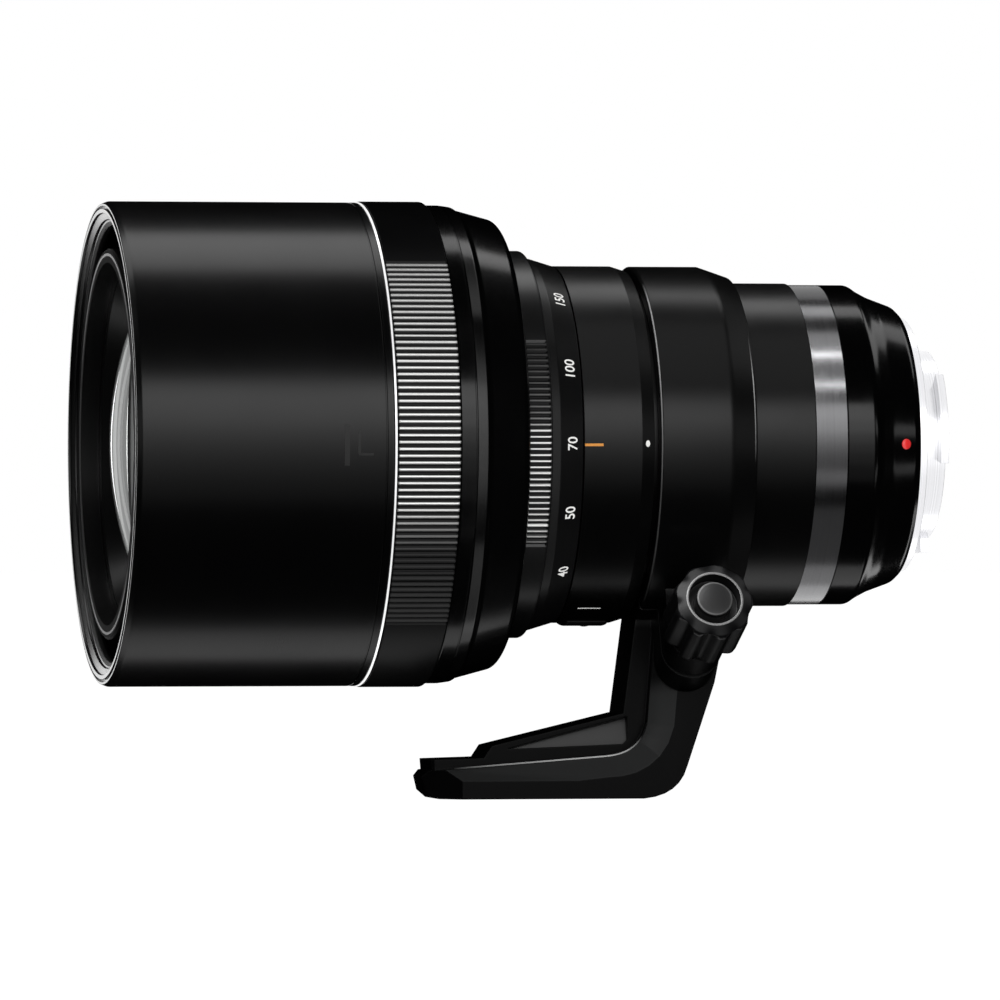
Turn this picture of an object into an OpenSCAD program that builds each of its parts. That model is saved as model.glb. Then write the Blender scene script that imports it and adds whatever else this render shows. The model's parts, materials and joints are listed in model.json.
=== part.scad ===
// Camera zoom lens: bayonet mount, turning tripod collar, zoom ring, clutch focus ring
// and a lens hood that slides back over the barrel.
// Stations along the optical axis are measured forward from the mount's flange face.
// The lens points along -X, the foot along -Z, and the index marks face -Y.

/* [Mount] */
// Radius of the bright flange
flange_r = 25.6; // [25:0.1:26.2]
// Thickness of the flange
flange_t = 1.6; // [1.4:0.1:2]
// Outer radius of the spigot that enters the camera
spigot_r = 19; // [18.5:0.1:19.4]
// Length of the spigot behind the flange face
spigot_len = 5.2; // [4.8:0.1:6]
// Bore radius of the spigot
spigot_bore_r = 16.5; // [16.2:0.1:17]
// Radius of the bayonet tabs
tab_r = 21.8; // [20.5:0.1:22.1]
// Number of flange screws
mount_screw_count = 4; // [3:1:6]
// Number of electric contacts
contact_count = 11; // [7:1:11]

/* [Rear section] */
// Length of the rear cover, from the flange to the bright ring
housing_len = 15.9; // [15.2:0.1:18]
// Width of the bright ring
trim_len = 6.6; // [5.5:0.1:8]
// Length of barrel that shows between the bright ring and the collar
rear_gap_len = 12.2; // [10:0.1:14]
// Wall of the barrel under the collar
seat_wall = 1.6; // [1.4:0.1:2]

/* [Tripod collar] */
// Length of the collar along the lens
collar_len = 19.8; // [18:0.1:22]
// Wall of the collar
collar_wall = 2.6; // [2.2:0.1:3.2]
// Depth of the foot's sole below the optical axis
foot_drop = 70.6; // [68:0.1:76]
// Reach of the foot forward of the collar's rear edge
foot_reach = 62.3; // [58:0.1:66]
// Width of the foot
foot_w = 24; // [22:0.5:28]
// Thread radius of the tripod socket
tripod_thread_r = 3.175; // [3.0:0.005:3.3]
// Angle of the clamp from straight down, towards the index side
clamp_angle = 23.4; // [22:0.1:27]
// Radius of the clamp knob over its lobes
knob_r = 8; // [7.5:0.1:8.4]
// Length of the clamp knob
knob_len = 16; // [13:0.5:18]
// Number of lobes on the knob
knob_lobes = 9; // [7:1:10]

/* [Rings] */
// Length of the fixed ring with the index marks
index_len = 14.2; // [13.5:0.1:16]
// Length of the cone that carries the focal lengths
scale_len = 6.7; // [5.5:0.1:7.5]
// Length of the zoom ring's raised lip
lip_len = 4.7; // [4:0.1:5.5]
// Length of the zoom ring's grip under the hood
zoom_grip_len = 8.9; // [8:0.1:11]
// Length of the focus ring
focus_len = 16.1; // [14:0.1:18]
// Travel of the focus ring's clutch
clutch_travel = 4; // [3:0.1:5]
// Zoom ring's turn from the rest setting to the widest one
zoom_turn_wide = 44; // [40:1:46]
// Zoom ring's turn from the rest setting to the longest one
zoom_turn_long = 53; // [50:1:55]

/* [Front] */
// Length of the front barrel
front_len = 44.2; // [43.5:0.1:48]
// Thread radius for screw-in filters
filter_r = 36; // [35.7:0.05:36.2]
// Length of the ring with the filter thread
filter_len = 4; // [3.6:0.1:5]
// Radius of the front glass
front_glass_r = 31.5; // [30.5:0.1:31.8]
// Radius of curvature of the front glass
front_glass_curve = 70; // [66:1:80]

/* [Hood] */
// Outer radius of the hood
hood_r = 48.2; // [47.9:0.1:50]
// Length of the hood
hood_len = 79; // [77:0.1:84]
// Wall of the hood
hood_wall = 1.6; // [1.2:0.1:2]
// Length of the hood's lock ring
lock_len = 12.3; // [10:0.1:14]
// Length of the hood's rear cone with its band
cone_len = 14.9; // [14.4:0.1:17]
// Pitch of the lock ring's ribs, in degrees
lock_rib_pitch = 1.6; // [1.5:0.1:3]

/* [Inside] */
// Bore radius of the guide barrel that the sliding cells run in
guide_bore_r = 25; // [24.9:0.05:25.3]
// Wall of the guide barrel
guide_wall = 1.2; // [1:0.05:1.4]
// Wall of the cam barrel
cam_wall = 1.8; // [1.6:0.05:2]
// Wall of the barrel's sleeve under the rings
sleeve_wall = 2.8; // [2.6:0.05:3]
// Wall of the zoom and focus rings' grips
ring_wall = 3.2; // [3:0.05:3.5]
// Radius of the cam rollers
roller_r = 1.5; // [1.3:0.05:1.7]
// Number of iris blades
blade_count = 9; // [7:1:9]

/* [Hidden] */
$fn = 96;
eps = 0.01;
black = [0.03, 0.03, 0.032];
gloss_black = [0.015, 0.015, 0.017];
dark_grey = [0.12, 0.12, 0.125];
chrome = [0.82, 0.82, 0.84];
steel = [0.62, 0.62, 0.64];
brass = [0.78, 0.62, 0.3];
glass = [0.55, 0.62, 0.66, 0.5];
copper = [0.72, 0.4, 0.2];

// Clearances
seat_gap = 0.05;
run_gap = 0.2;
slide_gap = 0.3;
roller_gap = 0.2;
face_gap = 0.3;
step_gap = 0.4;
collar_gap = 1.2;

// Radii, from the inside outwards
cell_r = guide_bore_r - slide_gap;
guide_r = guide_bore_r + guide_wall;
cam_bore_r = guide_r + 2 * run_gap;
cam_r = cam_bore_r + cam_wall;
cam_room = 2.4;
sleeve_bore_r = cam_r + cam_room;
sleeve_r = sleeve_bore_r + sleeve_wall;
ring_bore_r = sleeve_r + run_gap;
grip_r = ring_bore_r + ring_wall;
lip_rise = 1.7;
lip_r = grip_r + lip_rise;
index_rise = 2.1;
index_r = sleeve_r + index_rise;
scale_rise = 1.7;
scale_front_r = index_r + scale_rise;
front_r = grip_r + run_gap;
hood_bore_r = front_r + slide_gap;
seat_r = sleeve_bore_r + seat_wall;
liner_wall = 0.5;
liner_gap = 0.1;
liner_bore_r = seat_r + liner_gap;
collar_bore_r = liner_bore_r + liner_wall + seat_gap;
collar_r = collar_bore_r + collar_wall;
trim_step = 0.3;
trim_r = seat_r - trim_step;
trim_wall = 0.9;
trim_bore_r = trim_r - trim_wall;
rear_shoulder = 0.6;
rear_bore_r = sleeve_bore_r - rear_shoulder;
front_wall = 2.2;
front_bore_r = front_r - front_wall;
stop_rise = 1.8;
stop_r = grip_r + stop_rise;

// Stations along the axis
z_trim0 = flange_t + housing_len;
z_trim1 = z_trim0 + trim_len;
z_guide0 = z_trim1 + step_gap;
z_collar0 = z_trim1 + rear_gap_len;
z_collar1 = z_collar0 + collar_len;
z_index0 = z_collar1 + collar_gap;
z_index1 = z_index0 + index_len;
z_zoom0 = z_index1 + run_gap;
z_lip0 = z_zoom0 + scale_len;
z_lip1 = z_lip0 + lip_len;
z_zoom1 = z_lip1 + zoom_grip_len;
z_focus0 = z_zoom1 + clutch_travel + 2 * face_gap;
z_focus1 = z_focus0 + focus_len;
z_front0 = z_focus1 + face_gap;
z_front1 = z_front0 + front_len;
z_face = z_front1 + filter_len;
z_hood0 = z_lip1 + face_gap;
z_hood1 = z_hood0 + hood_len;
z_cone1 = z_hood0 + cone_len;
z_lock0 = z_cone1 + run_gap;
z_lock1 = z_lock0 + lock_len;
hood_trim_len = 0.8;
z_hood_trim1 = z_lock1 + hood_trim_len;

// Optical groups along the axis
rear_cell_t = 2.4;
rear_cell_room = 0.5;
focus_room = 5;
group_room = 1;
z_rear_cell0 = z_trim0 + rear_cell_room;
z_rear_cell1 = z_rear_cell0 + rear_cell_t;
focus_travel = 4.5;
group_len = 8;
focus_group_len = 6;
z_focus_group = z_rear_cell1 + focus_travel + focus_group_len / 2 + focus_room;
compensator_lead = 0.1;
variator_lead = -0.25;
z_compensator = z_focus_group + focus_travel + focus_group_len / 2 + group_len / 2 + group_room
    + compensator_lead * zoom_turn_wide;
z_variator = z_compensator + group_len + 1.5 * group_room
    + compensator_lead * zoom_turn_long - variator_lead * zoom_turn_long;
z_rods1 = z_focus_group + focus_travel + focus_group_len / 2 + step_gap;
roller_angles = [60, 180, 300];
roller_depth = 1.8;
roller_seat_r = cell_r - roller_depth;
roller_tip_r = cam_r - roller_gap;

// Iris, in front of the cam barrel
blade_pivot_r = 20.5;
blade_room = 5;
iris_bore_r = blade_pivot_r - blade_room;
iris_r = sleeve_bore_r - slide_gap;
iris_floor_t = 1.2;
iris_cover_t = 1;
iris_len = 7.4;
z_iris1 = z_front0 - step_gap;
z_iris0 = z_iris1 - iris_len;
z_cam1 = z_iris0 - step_gap;
blade_pin_r = 0.7;
blade_t = 0.18;
blade_step = 0.25;
blade_gap = 0.6;
blade_eye_r = 2;
iris_wall = 1.6;

// Key that drives the cam barrel from the zoom ring
key_w = 4;
key_len = 4;
key_inset = 0.7;
key_depth = 0.8;
key_reach = 1.2;
z_key0 = z_lip1 + key_inset;
key_root_r = cam_r - key_depth;
key_tip_r = ring_bore_r + key_reach;

// Collar clamp: its screw runs across the radius at clamp_angle
clamp_offset = 8.6;
clamp_r = collar_r + clamp_offset;
clamp_screw_r = 2.5;
clamp_hole_r = clamp_screw_r + slide_gap;
lug_half_w = 6;
lug_t = 7.2;
slit_half = 0.8;
lug_face = slit_half + lug_t;
washer_t = 0.9;
washer_r = 5.2;
knob_s0 = lug_face + washer_t + 2 * run_gap;
knob_s1 = knob_s0 + knob_len;
clamp_inset = 10.1;
z_clamp = z_collar0 + clamp_inset;

// Function button, at the bottom of the index ring
button_len = 8.5;
button_w = 11;
button_rise = 0.6;
button_inset = 7.9;
button_floor = 1.4;
button_throw = 0.8;
z_button = z_index0 + button_inset;
button_floor_r = sleeve_bore_r + button_floor;
switch_h = 1.4;
switch_w = 5;

// Turns the lens so that its stations run along -X, with local x up
module on_axis() rotate([0, -90, 0]) children();

// Solid of revolution from [radius, station] points
module turned(points) rotate_extrude() polygon(points);

module ring(r_in, r_out, z0, z1)
    turned([[r_in, z0], [r_out, z0], [r_out, z1], [r_in, z1]]);

// Part of a ring between two angles, measured from straight up
module ring_sector(r_in, r_out, z0, z1, a0, a1)
    rotate([0, 0, a0])
        rotate_extrude(angle = a1 - a0)
            translate([r_in, z0]) square([r_out - r_in, z1 - z0]);

// Block that stands on a radius: from r0 to r1, width w across, from z0 to z1
module radial_block(a, r0, r1, w, z0, z1)
    rotate([0, 0, a])
        translate([r0, -w / 2, z0]) cube([r1 - r0, w, z1 - z0]);

// Cylinder along a radius
module radial_pin(a, r0, r1, z, r)
    rotate([0, 0, a])
        translate([r0, 0, z]) rotate([0, 90, 0]) cylinder(r = r, h = r1 - r0);

// Cylinder parallel to the axis at radius rc and angle a
module axial_pin(a, rc, r, z0, z1)
    rotate([0, 0, a])
        translate([rc, 0, z0]) cylinder(r = r, h = z1 - z0);

// Straight grooves of width w along the axis, from angle a0 to a1
module grooves(r_floor, r_top, w, z0, z1, a0, a1, pitch)
    for (a = [a0 : pitch : a1])
        radial_block(a, r_floor, r_top, w, z0, z1);

// Points of a quadratic bend from p0 to p2, pulled towards p1
function bend(p0, p1, p2, n) =
    [for (i = [0 : n]) let (t = i / n)
        (1 - t) * (1 - t) * p0 + 2 * t * (1 - t) * p1 + t * t * p2];

// Height of a spherical face above its edge, at radius x. A negative curve is hollow.
function face_height(curve, r, x) =
    sign(curve) * (sqrt(curve * curve - x * x) - sqrt(curve * curve - r * r));

// Lens turned from its section. z0 and z1 are the stations of its two edges.
// A positive curve bulges out, a negative one is hollow.
module lens(r, z0, z1, rear_curve, front_curve) {
    steps = 12;
    turned(concat(
        [for (i = [0 : steps]) let (x = r * i / steps) [x, z0 - face_height(rear_curve, r, x)]],
        [for (i = [steps : -1 : 0]) let (x = r * i / steps) [x, z1 + face_height(front_curve, r, x)]]
    ));
}

// Cutter for one cam slot: a square bar swept along a helix on the cam barrel.
// At ring angle phi the slot lies at angle a + phi and station z + lead * phi.
module cam_slot(a, z, lead) {
    width = 2 * (roller_r + roller_gap);
    steps = 24;
    middle_r = (cam_bore_r + cam_r) / 2;
    across = middle_r * PI / 180;
    along = norm([across, lead]);
    over = width / 2 / along;
    side_a = -width / 2 * lead / along / across;
    side_z = width / 2 * across / along;
    phi0 = -zoom_turn_wide - over;
    phi1 = zoom_turn_long + over;
    corners = [[cam_bore_r - 0.5, -1], [cam_r + 0.5, -1], [cam_r + 0.5, 1], [cam_bore_r - 0.5, 1]];
    points = [for (i = [0 : steps], c = corners)
        let (phi = phi0 + (phi1 - phi0) * i / steps, at = a + phi + c[1] * side_a)
            [c[0] * cos(at), c[0] * sin(at), z + lead * phi + c[1] * side_z]];
    last = 4 * steps;
    sides = [for (i = [0 : steps - 1], k = [0 : 3], half = [0, 1])
        let (p = 4 * i + k, q = 4 * i + (k + 1) % 4)
            half == 0 ? [p, q, q + 4] : [p, q + 4, p + 4]];
    caps = [[0, 3, 2], [0, 2, 1], [last, last + 1, last + 2], [last, last + 2, last + 3]];
    polyhedron(points, concat(sides, caps));
}

// Cell that slides in the guide barrel, bored for its lens and its rollers
module sliding_cell(z, lens_r) {
    throat_r = lens_r - cell_lip;
    difference() {
        turned([
            [throat_r, z - group_len / 2], [cell_r, z - group_len / 2],
            [cell_r, z + group_len / 2], [lens_r + seat_gap, z + group_len / 2],
            [lens_r + seat_gap, z - group_len / 2 + cell_lip_t], [throat_r, z - group_len / 2 + cell_lip_t]
        ]);
        for (a = roller_angles)
            radial_pin(a, roller_seat_r, cell_r + 1, z, roller_r + seat_gap);
    }
}

// Lens seated on the lip of a sliding cell
module cell_lens(z, r, t, curves) {
    z0 = z - group_len / 2 + cell_lip_t;
    lens(r, z0, z0 + t, curves[0], curves[1]);
}

module rollers(z)
    for (a = roller_angles)
        radial_pin(a, roller_seat_r + seat_gap, roller_tip_r, z, roller_r);

// Puts the clamp's parts in place: local z runs along its screw, towards the knob, and x outwards
module on_clamp()
    rotate([0, 0, 180 + clamp_angle])
        translate([clamp_r, 0, z_clamp]) rotate([-90, 0, 0]) children();

// Fixed barrel: the collar's seat, the index ring and the sleeve under the rings
module main_barrel() color(black) on_axis() {
    spigot = trim_bore_r - seat_gap;
    bevel = [0.8, 2.6];
    slot_over = asin((key_w / 2 + face_gap) / sleeve_bore_r) + 0.5;
    difference() {
        turned([
            [rear_bore_r, z_trim0], [spigot, z_trim0], [spigot, z_trim1], [seat_r, z_trim1],
            [seat_r, z_index0], [index_r - bevel[0], z_index0], [index_r, z_index0 + bevel[1]],
            [index_r, z_index1], [sleeve_r, z_index1], [sleeve_r, z_front0],
            [sleeve_bore_r, z_front0], [sleeve_bore_r, z_guide0], [rear_bore_r, z_guide0]
        ]);
        ring_sector(sleeve_bore_r - 1, sleeve_r + 1, z_key0 - face_gap,
            z_key0 + key_len + face_gap, -zoom_turn_long - slot_over, zoom_turn_wide + slot_over);
        radial_block(180, button_floor_r, index_r + 1, button_w + 2 * run_gap,
            z_button - button_len / 2 - run_gap, z_button + button_len / 2 + run_gap);
    }
}

// Bright turned ring between the barrel and the rear cover
module trim_ring() color(chrome) on_axis()
    ring(trim_bore_r, trim_r, z_trim0, z_trim1);

// Rear cover, tapering to the flange in a long slope, a step and a short bevel
module mount_housing() color(gloss_black) on_axis() {
    wall = 2.2;
    throat_r = spigot_r + throat_step;
    slope_inset = [2.4, 6.1];
    step_inset = [1.1, 8.6];
    rim_z = flange_t + 10.2;
    bevel = 1.15;
    difference() {
        turned([
            [trim_r, z_trim0], [trim_r, rim_z], [trim_r - step_inset[0], flange_t + step_inset[1]],
            [trim_r - slope_inset[0], flange_t + slope_inset[1]],
            [flange_r + 2 * bevel, flange_t + bevel],
            [flange_r + bevel, flange_t], [throat_r, flange_t], [throat_r, z_baffle],
            [flange_r + step_gap, z_baffle], [trim_r - wall, rim_z - bevel], [trim_r - wall, z_trim0]
        ]);
        for (i = [0 : mount_screw_count - 1])
            axial_pin(mount_screw_angle(i), mount_screw_rc, mount_screw_r + seat_gap,
                flange_t - eps, flange_t + mount_screw_len + seat_gap);
    }
}

throat_step = 2.5;
housing_floor_t = 3.4;
z_baffle = flange_t + housing_floor_t;
mount_screw_r = 0.8;
mount_head_r = 1.4;
mount_head_h = 0.9;
mount_screw_len = 3;
mount_screw_inset = 1.7;
mount_screw_rc = flange_r - mount_screw_inset;
function mount_screw_angle(i) = 45 + i * 360 / mount_screw_count;

// Bayonet flange with its spigot and three tabs
module mount_flange() color(chrome) on_axis() {
    relief = 0.4;
    face_w = 3.3;
    tab_t = 1.6;
    tab_span = 50;
    tab_root = 0.5;
    lock_hole_r = 1.3;
    lock_hole_floor = 0.4;
    difference() {
        union() {
            turned([
                [spigot_bore_r, -spigot_len], [spigot_r, -spigot_len], [spigot_r, relief],
                [flange_r - face_w, relief], [flange_r - face_w, 0], [flange_r, 0],
                [flange_r, flange_t], [spigot_bore_r, flange_t]
            ]);
            for (a = [20, 140, 260])
                ring_sector(spigot_r - tab_root, tab_r, -spigot_len, tab_t - spigot_len, a, a + tab_span);
        }
        for (i = [0 : mount_screw_count - 1]) {
            axial_pin(mount_screw_angle(i), mount_screw_rc, mount_screw_r + seat_gap, -1, flange_t + 1);
            rotate([0, 0, mount_screw_angle(i)])
                translate([mount_screw_rc, 0, -eps])
                    cylinder(r1 = mount_head_r + 2 * seat_gap, r2 = mount_screw_r + seat_gap,
                        h = mount_head_h);
        }
        axial_pin(-100, mount_screw_rc, lock_hole_r, -1, flange_t - lock_hole_floor);
    }
}

// Countersunk screws that hold the flange, with cross slots
module mount_screws() color(steel) on_axis() {
    sunk = 0.12;
    slot_w = 0.3;
    slot_depth = 0.5;
    for (i = [0 : mount_screw_count - 1])
        rotate([0, 0, mount_screw_angle(i)]) translate([mount_screw_rc, 0, 0])
            difference() {
                union() {
                    translate([0, 0, sunk])
                        cylinder(r1 = mount_head_r, r2 = mount_screw_r, h = mount_head_h - sunk);
                    translate([0, 0, mount_head_h / 2])
                        cylinder(r = mount_screw_r, h = flange_t + mount_screw_len - mount_head_h / 2);
                }
                for (turn = [0, 90])
                    rotate([0, 0, turn]) translate([-mount_screw_r, -slot_w / 2, 0])
                        cube([2 * mount_screw_r, slot_w, slot_depth]);
            }
}

contact_inset = 1.15;
contact_rc = spigot_bore_r - contact_inset;
contact_r = 0.45;
contact_pitch = 8.6;
contact_block_w = 0.95;
contact_block_inset = 0.8;
contact_block_over = 3;
contact_sunk = 0.3;
contact_root = 1;
function contact_angle(i) = 180 + (i - (contact_count - 1) / 2) * contact_pitch;

// Plastic block that carries the contacts, inside the spigot
module contact_block() color(black) on_axis() {
    half = contact_count * contact_pitch / 2 + 2;
    difference() {
        ring_sector(contact_rc - contact_block_w, spigot_bore_r - run_gap,
            contact_block_inset - spigot_len, flange_t + contact_block_over, 180 - half, 180 + half);
        for (i = [0 : contact_count - 1])
            axial_pin(contact_angle(i), contact_rc, contact_r + seat_gap, -spigot_len, -contact_root);
    }
}

// Gold plated contact pins
module contact_pins() color(brass) on_axis()
    for (i = [0 : contact_count - 1])
        axial_pin(contact_angle(i), contact_rc, contact_r, contact_sunk - spigot_len, -contact_root);

// Light baffle with the image window, behind the rear lens
module rear_baffle() color(black) on_axis() {
    window = [16, 22];
    plate_t = 1.4;
    difference() {
        ring(0, flange_r - run_gap, z_baffle, z_baffle + plate_t);
        translate([-window[0] / 2, -window[1] / 2, z_baffle - plate_t])
            cube([window[0], window[1], 3 * plate_t]);
    }
}

rear_lens_r = 14.2;
rear_tube_len = 9.5;
rear_tube_wall = 2.4;
rear_lip = 1;
rear_lip_t = 1.2;
rear_lens_t = 6.6;
rear_lens_curves = [-60, 34];
rod_rc = 18.6;
rod_r = 1;

// Cell of the fixed rear lens, on a flange inside the barrel
module rear_cell() color(dark_grey) on_axis() {
    z0 = z_rear_cell0 - rear_tube_len;
    difference() {
        turned([
            [rear_lens_r - rear_lip, z0], [rear_lens_r + rear_tube_wall, z0],
            [rear_lens_r + rear_tube_wall, z_rear_cell0], [rear_bore_r - slide_gap, z_rear_cell0],
            [rear_bore_r - slide_gap, z_rear_cell1], [rear_lens_r + seat_gap, z_rear_cell1],
            [rear_lens_r + seat_gap, z0 + rear_lip_t], [rear_lens_r - rear_lip, z0 + rear_lip_t]
        ]);
        for (a = [0, 180])
            axial_pin(a, rod_rc, rod_r + seat_gap, z_rear_cell0 - 1, z_rear_cell1 + 1);
    }
}

module rear_lens() color(glass) on_axis() {
    z0 = z_rear_cell0 - rear_tube_len + rear_lip_t + 2 * seat_gap;
    lens(rear_lens_r, z0, z0 + rear_lens_t, rear_lens_curves[0], rear_lens_curves[1]);
}

// Ring shaped circuit board against the rear cell's flange
module main_board() color([0.05, 0.25, 0.12]) on_axis() {
    board_t = 1.4;
    rim_gap = 3.2;
    ring(rear_lens_r + rear_tube_wall + 4 * run_gap, trim_r - rim_gap, z_rear_cell0 - board_t, z_rear_cell0);
}

// Guide rods of the focus group
module focus_rods() color(steel) on_axis()
    for (a = [0, 180])
        axial_pin(a, rod_rc, rod_r, z_rear_cell0, z_rods1);

magnet_r0 = 22;
magnet_w = 9;
magnet_gap = 0.1;
coil_gap = 0.4;

// Magnet bars of the focus motor, standing on the rear cell
module focus_magnets() color(steel) on_axis()
    for (a = [90, 270])
        radial_block(a, magnet_r0, sqrt(cell_r * cell_r - magnet_w * magnet_w / 4) - magnet_gap,
            magnet_w, z_rear_cell1, z_rods1);

guide_flange_t = 2;

// Fixed barrel with straight slots, which keeps the sliding cells from turning
module guide_barrel() color(dark_grey) on_axis() {
    slot_w = 2 * (roller_r + roller_gap);
    flange_end = z_guide0 + guide_flange_t;
    difference() {
        turned([
            [guide_bore_r, z_guide0], [sleeve_bore_r - run_gap, z_guide0],
            [sleeve_bore_r - run_gap, flange_end], [guide_r, flange_end],
            [guide_r, z_cam1], [guide_bore_r, z_cam1]
        ]);
        for (a = roller_angles) {
            guide_slot(a, slot_w, z_compensator, compensator_lead);
            guide_slot(a, slot_w, z_variator, variator_lead);
        }
    }
}

// Straight slot for one roller over its whole travel
module guide_slot(a, w, z, lead) {
    ends = [z - lead * zoom_turn_wide, z + lead * zoom_turn_long];
    radial_block(a, guide_bore_r - 1, guide_r + 1, w, min(ends), max(ends));
    for (end = ends)
        radial_pin(a, guide_bore_r - 1, guide_r + 1, end, w / 2);
}

// Iris housing: floor, wall and the blades' pivot pins
module iris_housing() color(black) on_axis() {
    z_floor = z_iris0 + iris_floor_t;
    turned([
        [iris_bore_r, z_iris0], [iris_r, z_iris0], [iris_r, z_iris1 - iris_cover_t],
        [iris_r - iris_wall, z_iris1 - iris_cover_t], [iris_r - iris_wall, z_floor], [iris_bore_r, z_floor]
    ]);
    for (i = [1 : blade_count])
        axial_pin(i * 360 / blade_count, blade_pivot_r, blade_pin_r, z_floor - blade_t,
            z_floor + (blade_count + 1) * blade_step);
}

module iris_cover() color(black) on_axis()
    ring(iris_bore_r, iris_r, z_iris1 - iris_cover_t, z_iris1);

// Ring that turns to open and close the blades
module iris_ring() color(dark_grey) on_axis() {
    ring_t = 1.5;
    z1 = z_iris1 - iris_cover_t - face_gap;
    ring(iris_bore_r + ring_t, iris_r - iris_wall - slide_gap, z1 - ring_t, z1);
}

// One curved blade, at its own level, hung on its pin and clear of the next blade's pin
module iris_blade(i) color(black) on_axis() {
    inner_r = iris_bore_r + step_gap;
    outer_r = blade_pivot_r - blade_pin_r - blade_gap;
    span = 62;
    z0 = z_iris0 + iris_floor_t + i * blade_step - blade_t / 2;
    rotate([0, 0, i * 360 / blade_count])
        difference() {
            union() {
                ring_sector(inner_r, outer_r, z0, z0 + blade_t, -4, span);
                axial_pin(0, blade_pivot_r, blade_eye_r, z0, z0 + blade_t);
            }
            axial_pin(0, blade_pivot_r, blade_pin_r + seat_gap, z0 - 1, z0 + 1);
        }
}

// Front barrel that the hood slides on
module front_barrel() color(black) on_axis()
    turned([
        [sleeve_bore_r + step_gap, z_front0], [front_r, z_front0], [front_r, z_front1],
        [front_bore_r, z_front1], [front_bore_r, z_front0 + front_floor_t],
        [sleeve_bore_r + step_gap, z_front0 + front_floor_t]
    ]);

front_floor_t = 2.5;
glass_inset = 1.2;
glass_edge_t = 6;
z_front_glass = z_face - glass_inset;
front_glass_sag = front_glass_curve - sqrt(front_glass_curve * front_glass_curve
    - front_glass_r * front_glass_r);
z_front_edge1 = z_front_glass - front_glass_sag;
z_front_edge0 = z_front_edge1 - glass_edge_t;
glass_back_curve = -160;
doublet_r = 27;
doublet_t = 8;
doublet_curves = [-90, -120];
doublet_room = 11;
z_doublet0 = z_front_edge0 - doublet_t - doublet_room;

// Cell of the fixed front group: a foot flange, a neck and the seat of the front glass
module front_cell() color(black) on_axis() {
    wall = 2.4;
    seat_lip = 2.2;
    seat_lip_t = 1.5;
    taper_len = 3;
    outer = front_bore_r - slide_gap;
    neck_r = doublet_r + wall;
    shoulder_r = front_glass_r - seat_lip;
    z0 = z_front0 + front_floor_t;
    turned([
        [doublet_r - wall, z0], [outer, z0], [outer, z0 + wall], [neck_r, z0 + wall],
        [neck_r, z_front_edge0 - 2 * taper_len], [outer, z_front_edge0 - taper_len], [outer, z_front_edge1],
        [front_glass_r + seat_gap, z_front_edge1], [front_glass_r + seat_gap, z_front_edge0],
        [shoulder_r, z_front_edge0], [shoulder_r, z_front_edge0 - seat_lip_t],
        [doublet_r + seat_gap, z_front_edge0 - seat_lip_t - taper_len], [doublet_r + seat_gap, z_doublet0],
        [doublet_r - wall, z_doublet0]
    ]);
}

module front_doublet() color(glass) on_axis()
    lens(doublet_r, z_doublet0, z_doublet0 + doublet_t, doublet_curves[0], doublet_curves[1]);

// Large front glass, bulging almost to the face of the filter ring
module front_element() color(glass) on_axis()
    lens(front_glass_r, z_front_edge0, z_front_edge1, glass_back_curve, front_glass_curve);

// Black trim ring around the front glass
module name_ring() color(black) on_axis() {
    outer = filter_spigot_bore - seat_gap;
    inner = front_glass_r + run_gap;
    rim = 0.5;
    lip_t = 1;
    z0 = z_front_edge1 + face_gap;
    z1 = z_front1 + run_gap;
    turned([
        [inner, z0], [outer, z0], [outer, z1], [outer - rim, z1], [inner, z0 + lip_t]
    ]);
}

filter_spigot_wall = 1;
filter_spigot_len = 4;
filter_floor_t = 0.4;
filter_spigot_bore = front_bore_r - filter_spigot_wall;

// Front ring with the filter thread and the hood's stop flange
module filter_ring() color(black) on_axis()
    turned([
        [filter_spigot_bore, z_front1 - filter_spigot_len],
        [front_bore_r - seat_gap, z_front1 - filter_spigot_len],
        [front_bore_r - seat_gap, z_front1], [stop_r, z_front1],
        [stop_r, z_face - filter_floor_t], [stop_r - filter_floor_t, z_face], [filter_r, z_face],
        [filter_r, z_front1 + filter_floor_t], [filter_spigot_bore, z_front1 + filter_floor_t]
    ]);

// Switch under the function button
module button_switch() color(steel) on_axis()
    radial_block(180, button_floor_r, button_floor_r + switch_h, switch_w,
        z_button - switch_w / 2, z_button + switch_w / 2);

// Zoom ring: cone with the focal lengths, ribbed lip and ribbed grip under the hood
module zoom_ring() color(black) on_axis() {
    edge = 0.4;
    zone_half = 31;
    rib_pitch = 1.78;
    groove_w = 0.62;
    groove_depth = 0.5;
    grip_ribs = 72;
    grip_groove_w = 1.3;
    grip_margin = 1.2;
    difference() {
        turned([
            [ring_bore_r, z_zoom0], [index_r, z_zoom0], [scale_front_r, z_lip0],
            [lip_r - edge, z_lip0], [lip_r, z_lip0 + edge], [lip_r, z_lip1 - edge],
            [lip_r - edge, z_lip1], [grip_r, z_lip1], [grip_r, z_zoom1], [ring_bore_r, z_zoom1]
        ]);
        for (centre = [-90, 30, 150])
            grooves(lip_r - groove_depth, lip_r + 1, groove_w, z_lip0 + groove_depth, z_lip1 + 1,
                centre - zone_half, centre + zone_half, rib_pitch);
        grooves(grip_r - groove_depth, grip_r + 1, grip_groove_w, z_lip1 + grip_margin,
            z_zoom1 - grip_margin, 0, 359.9, 360 / grip_ribs);
        radial_block(0, ring_bore_r - 1, key_tip_r + seat_gap, key_w + 2 * seat_gap,
            z_key0 - seat_gap, z_key0 + key_len + seat_gap);
    }
}

// Key through the sleeve's slot, from the zoom ring to the cam barrel
module zoom_key() color(steel) on_axis()
    radial_block(0, key_root_r, key_tip_r, key_w, z_key0, z_key0 + key_len);

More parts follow.
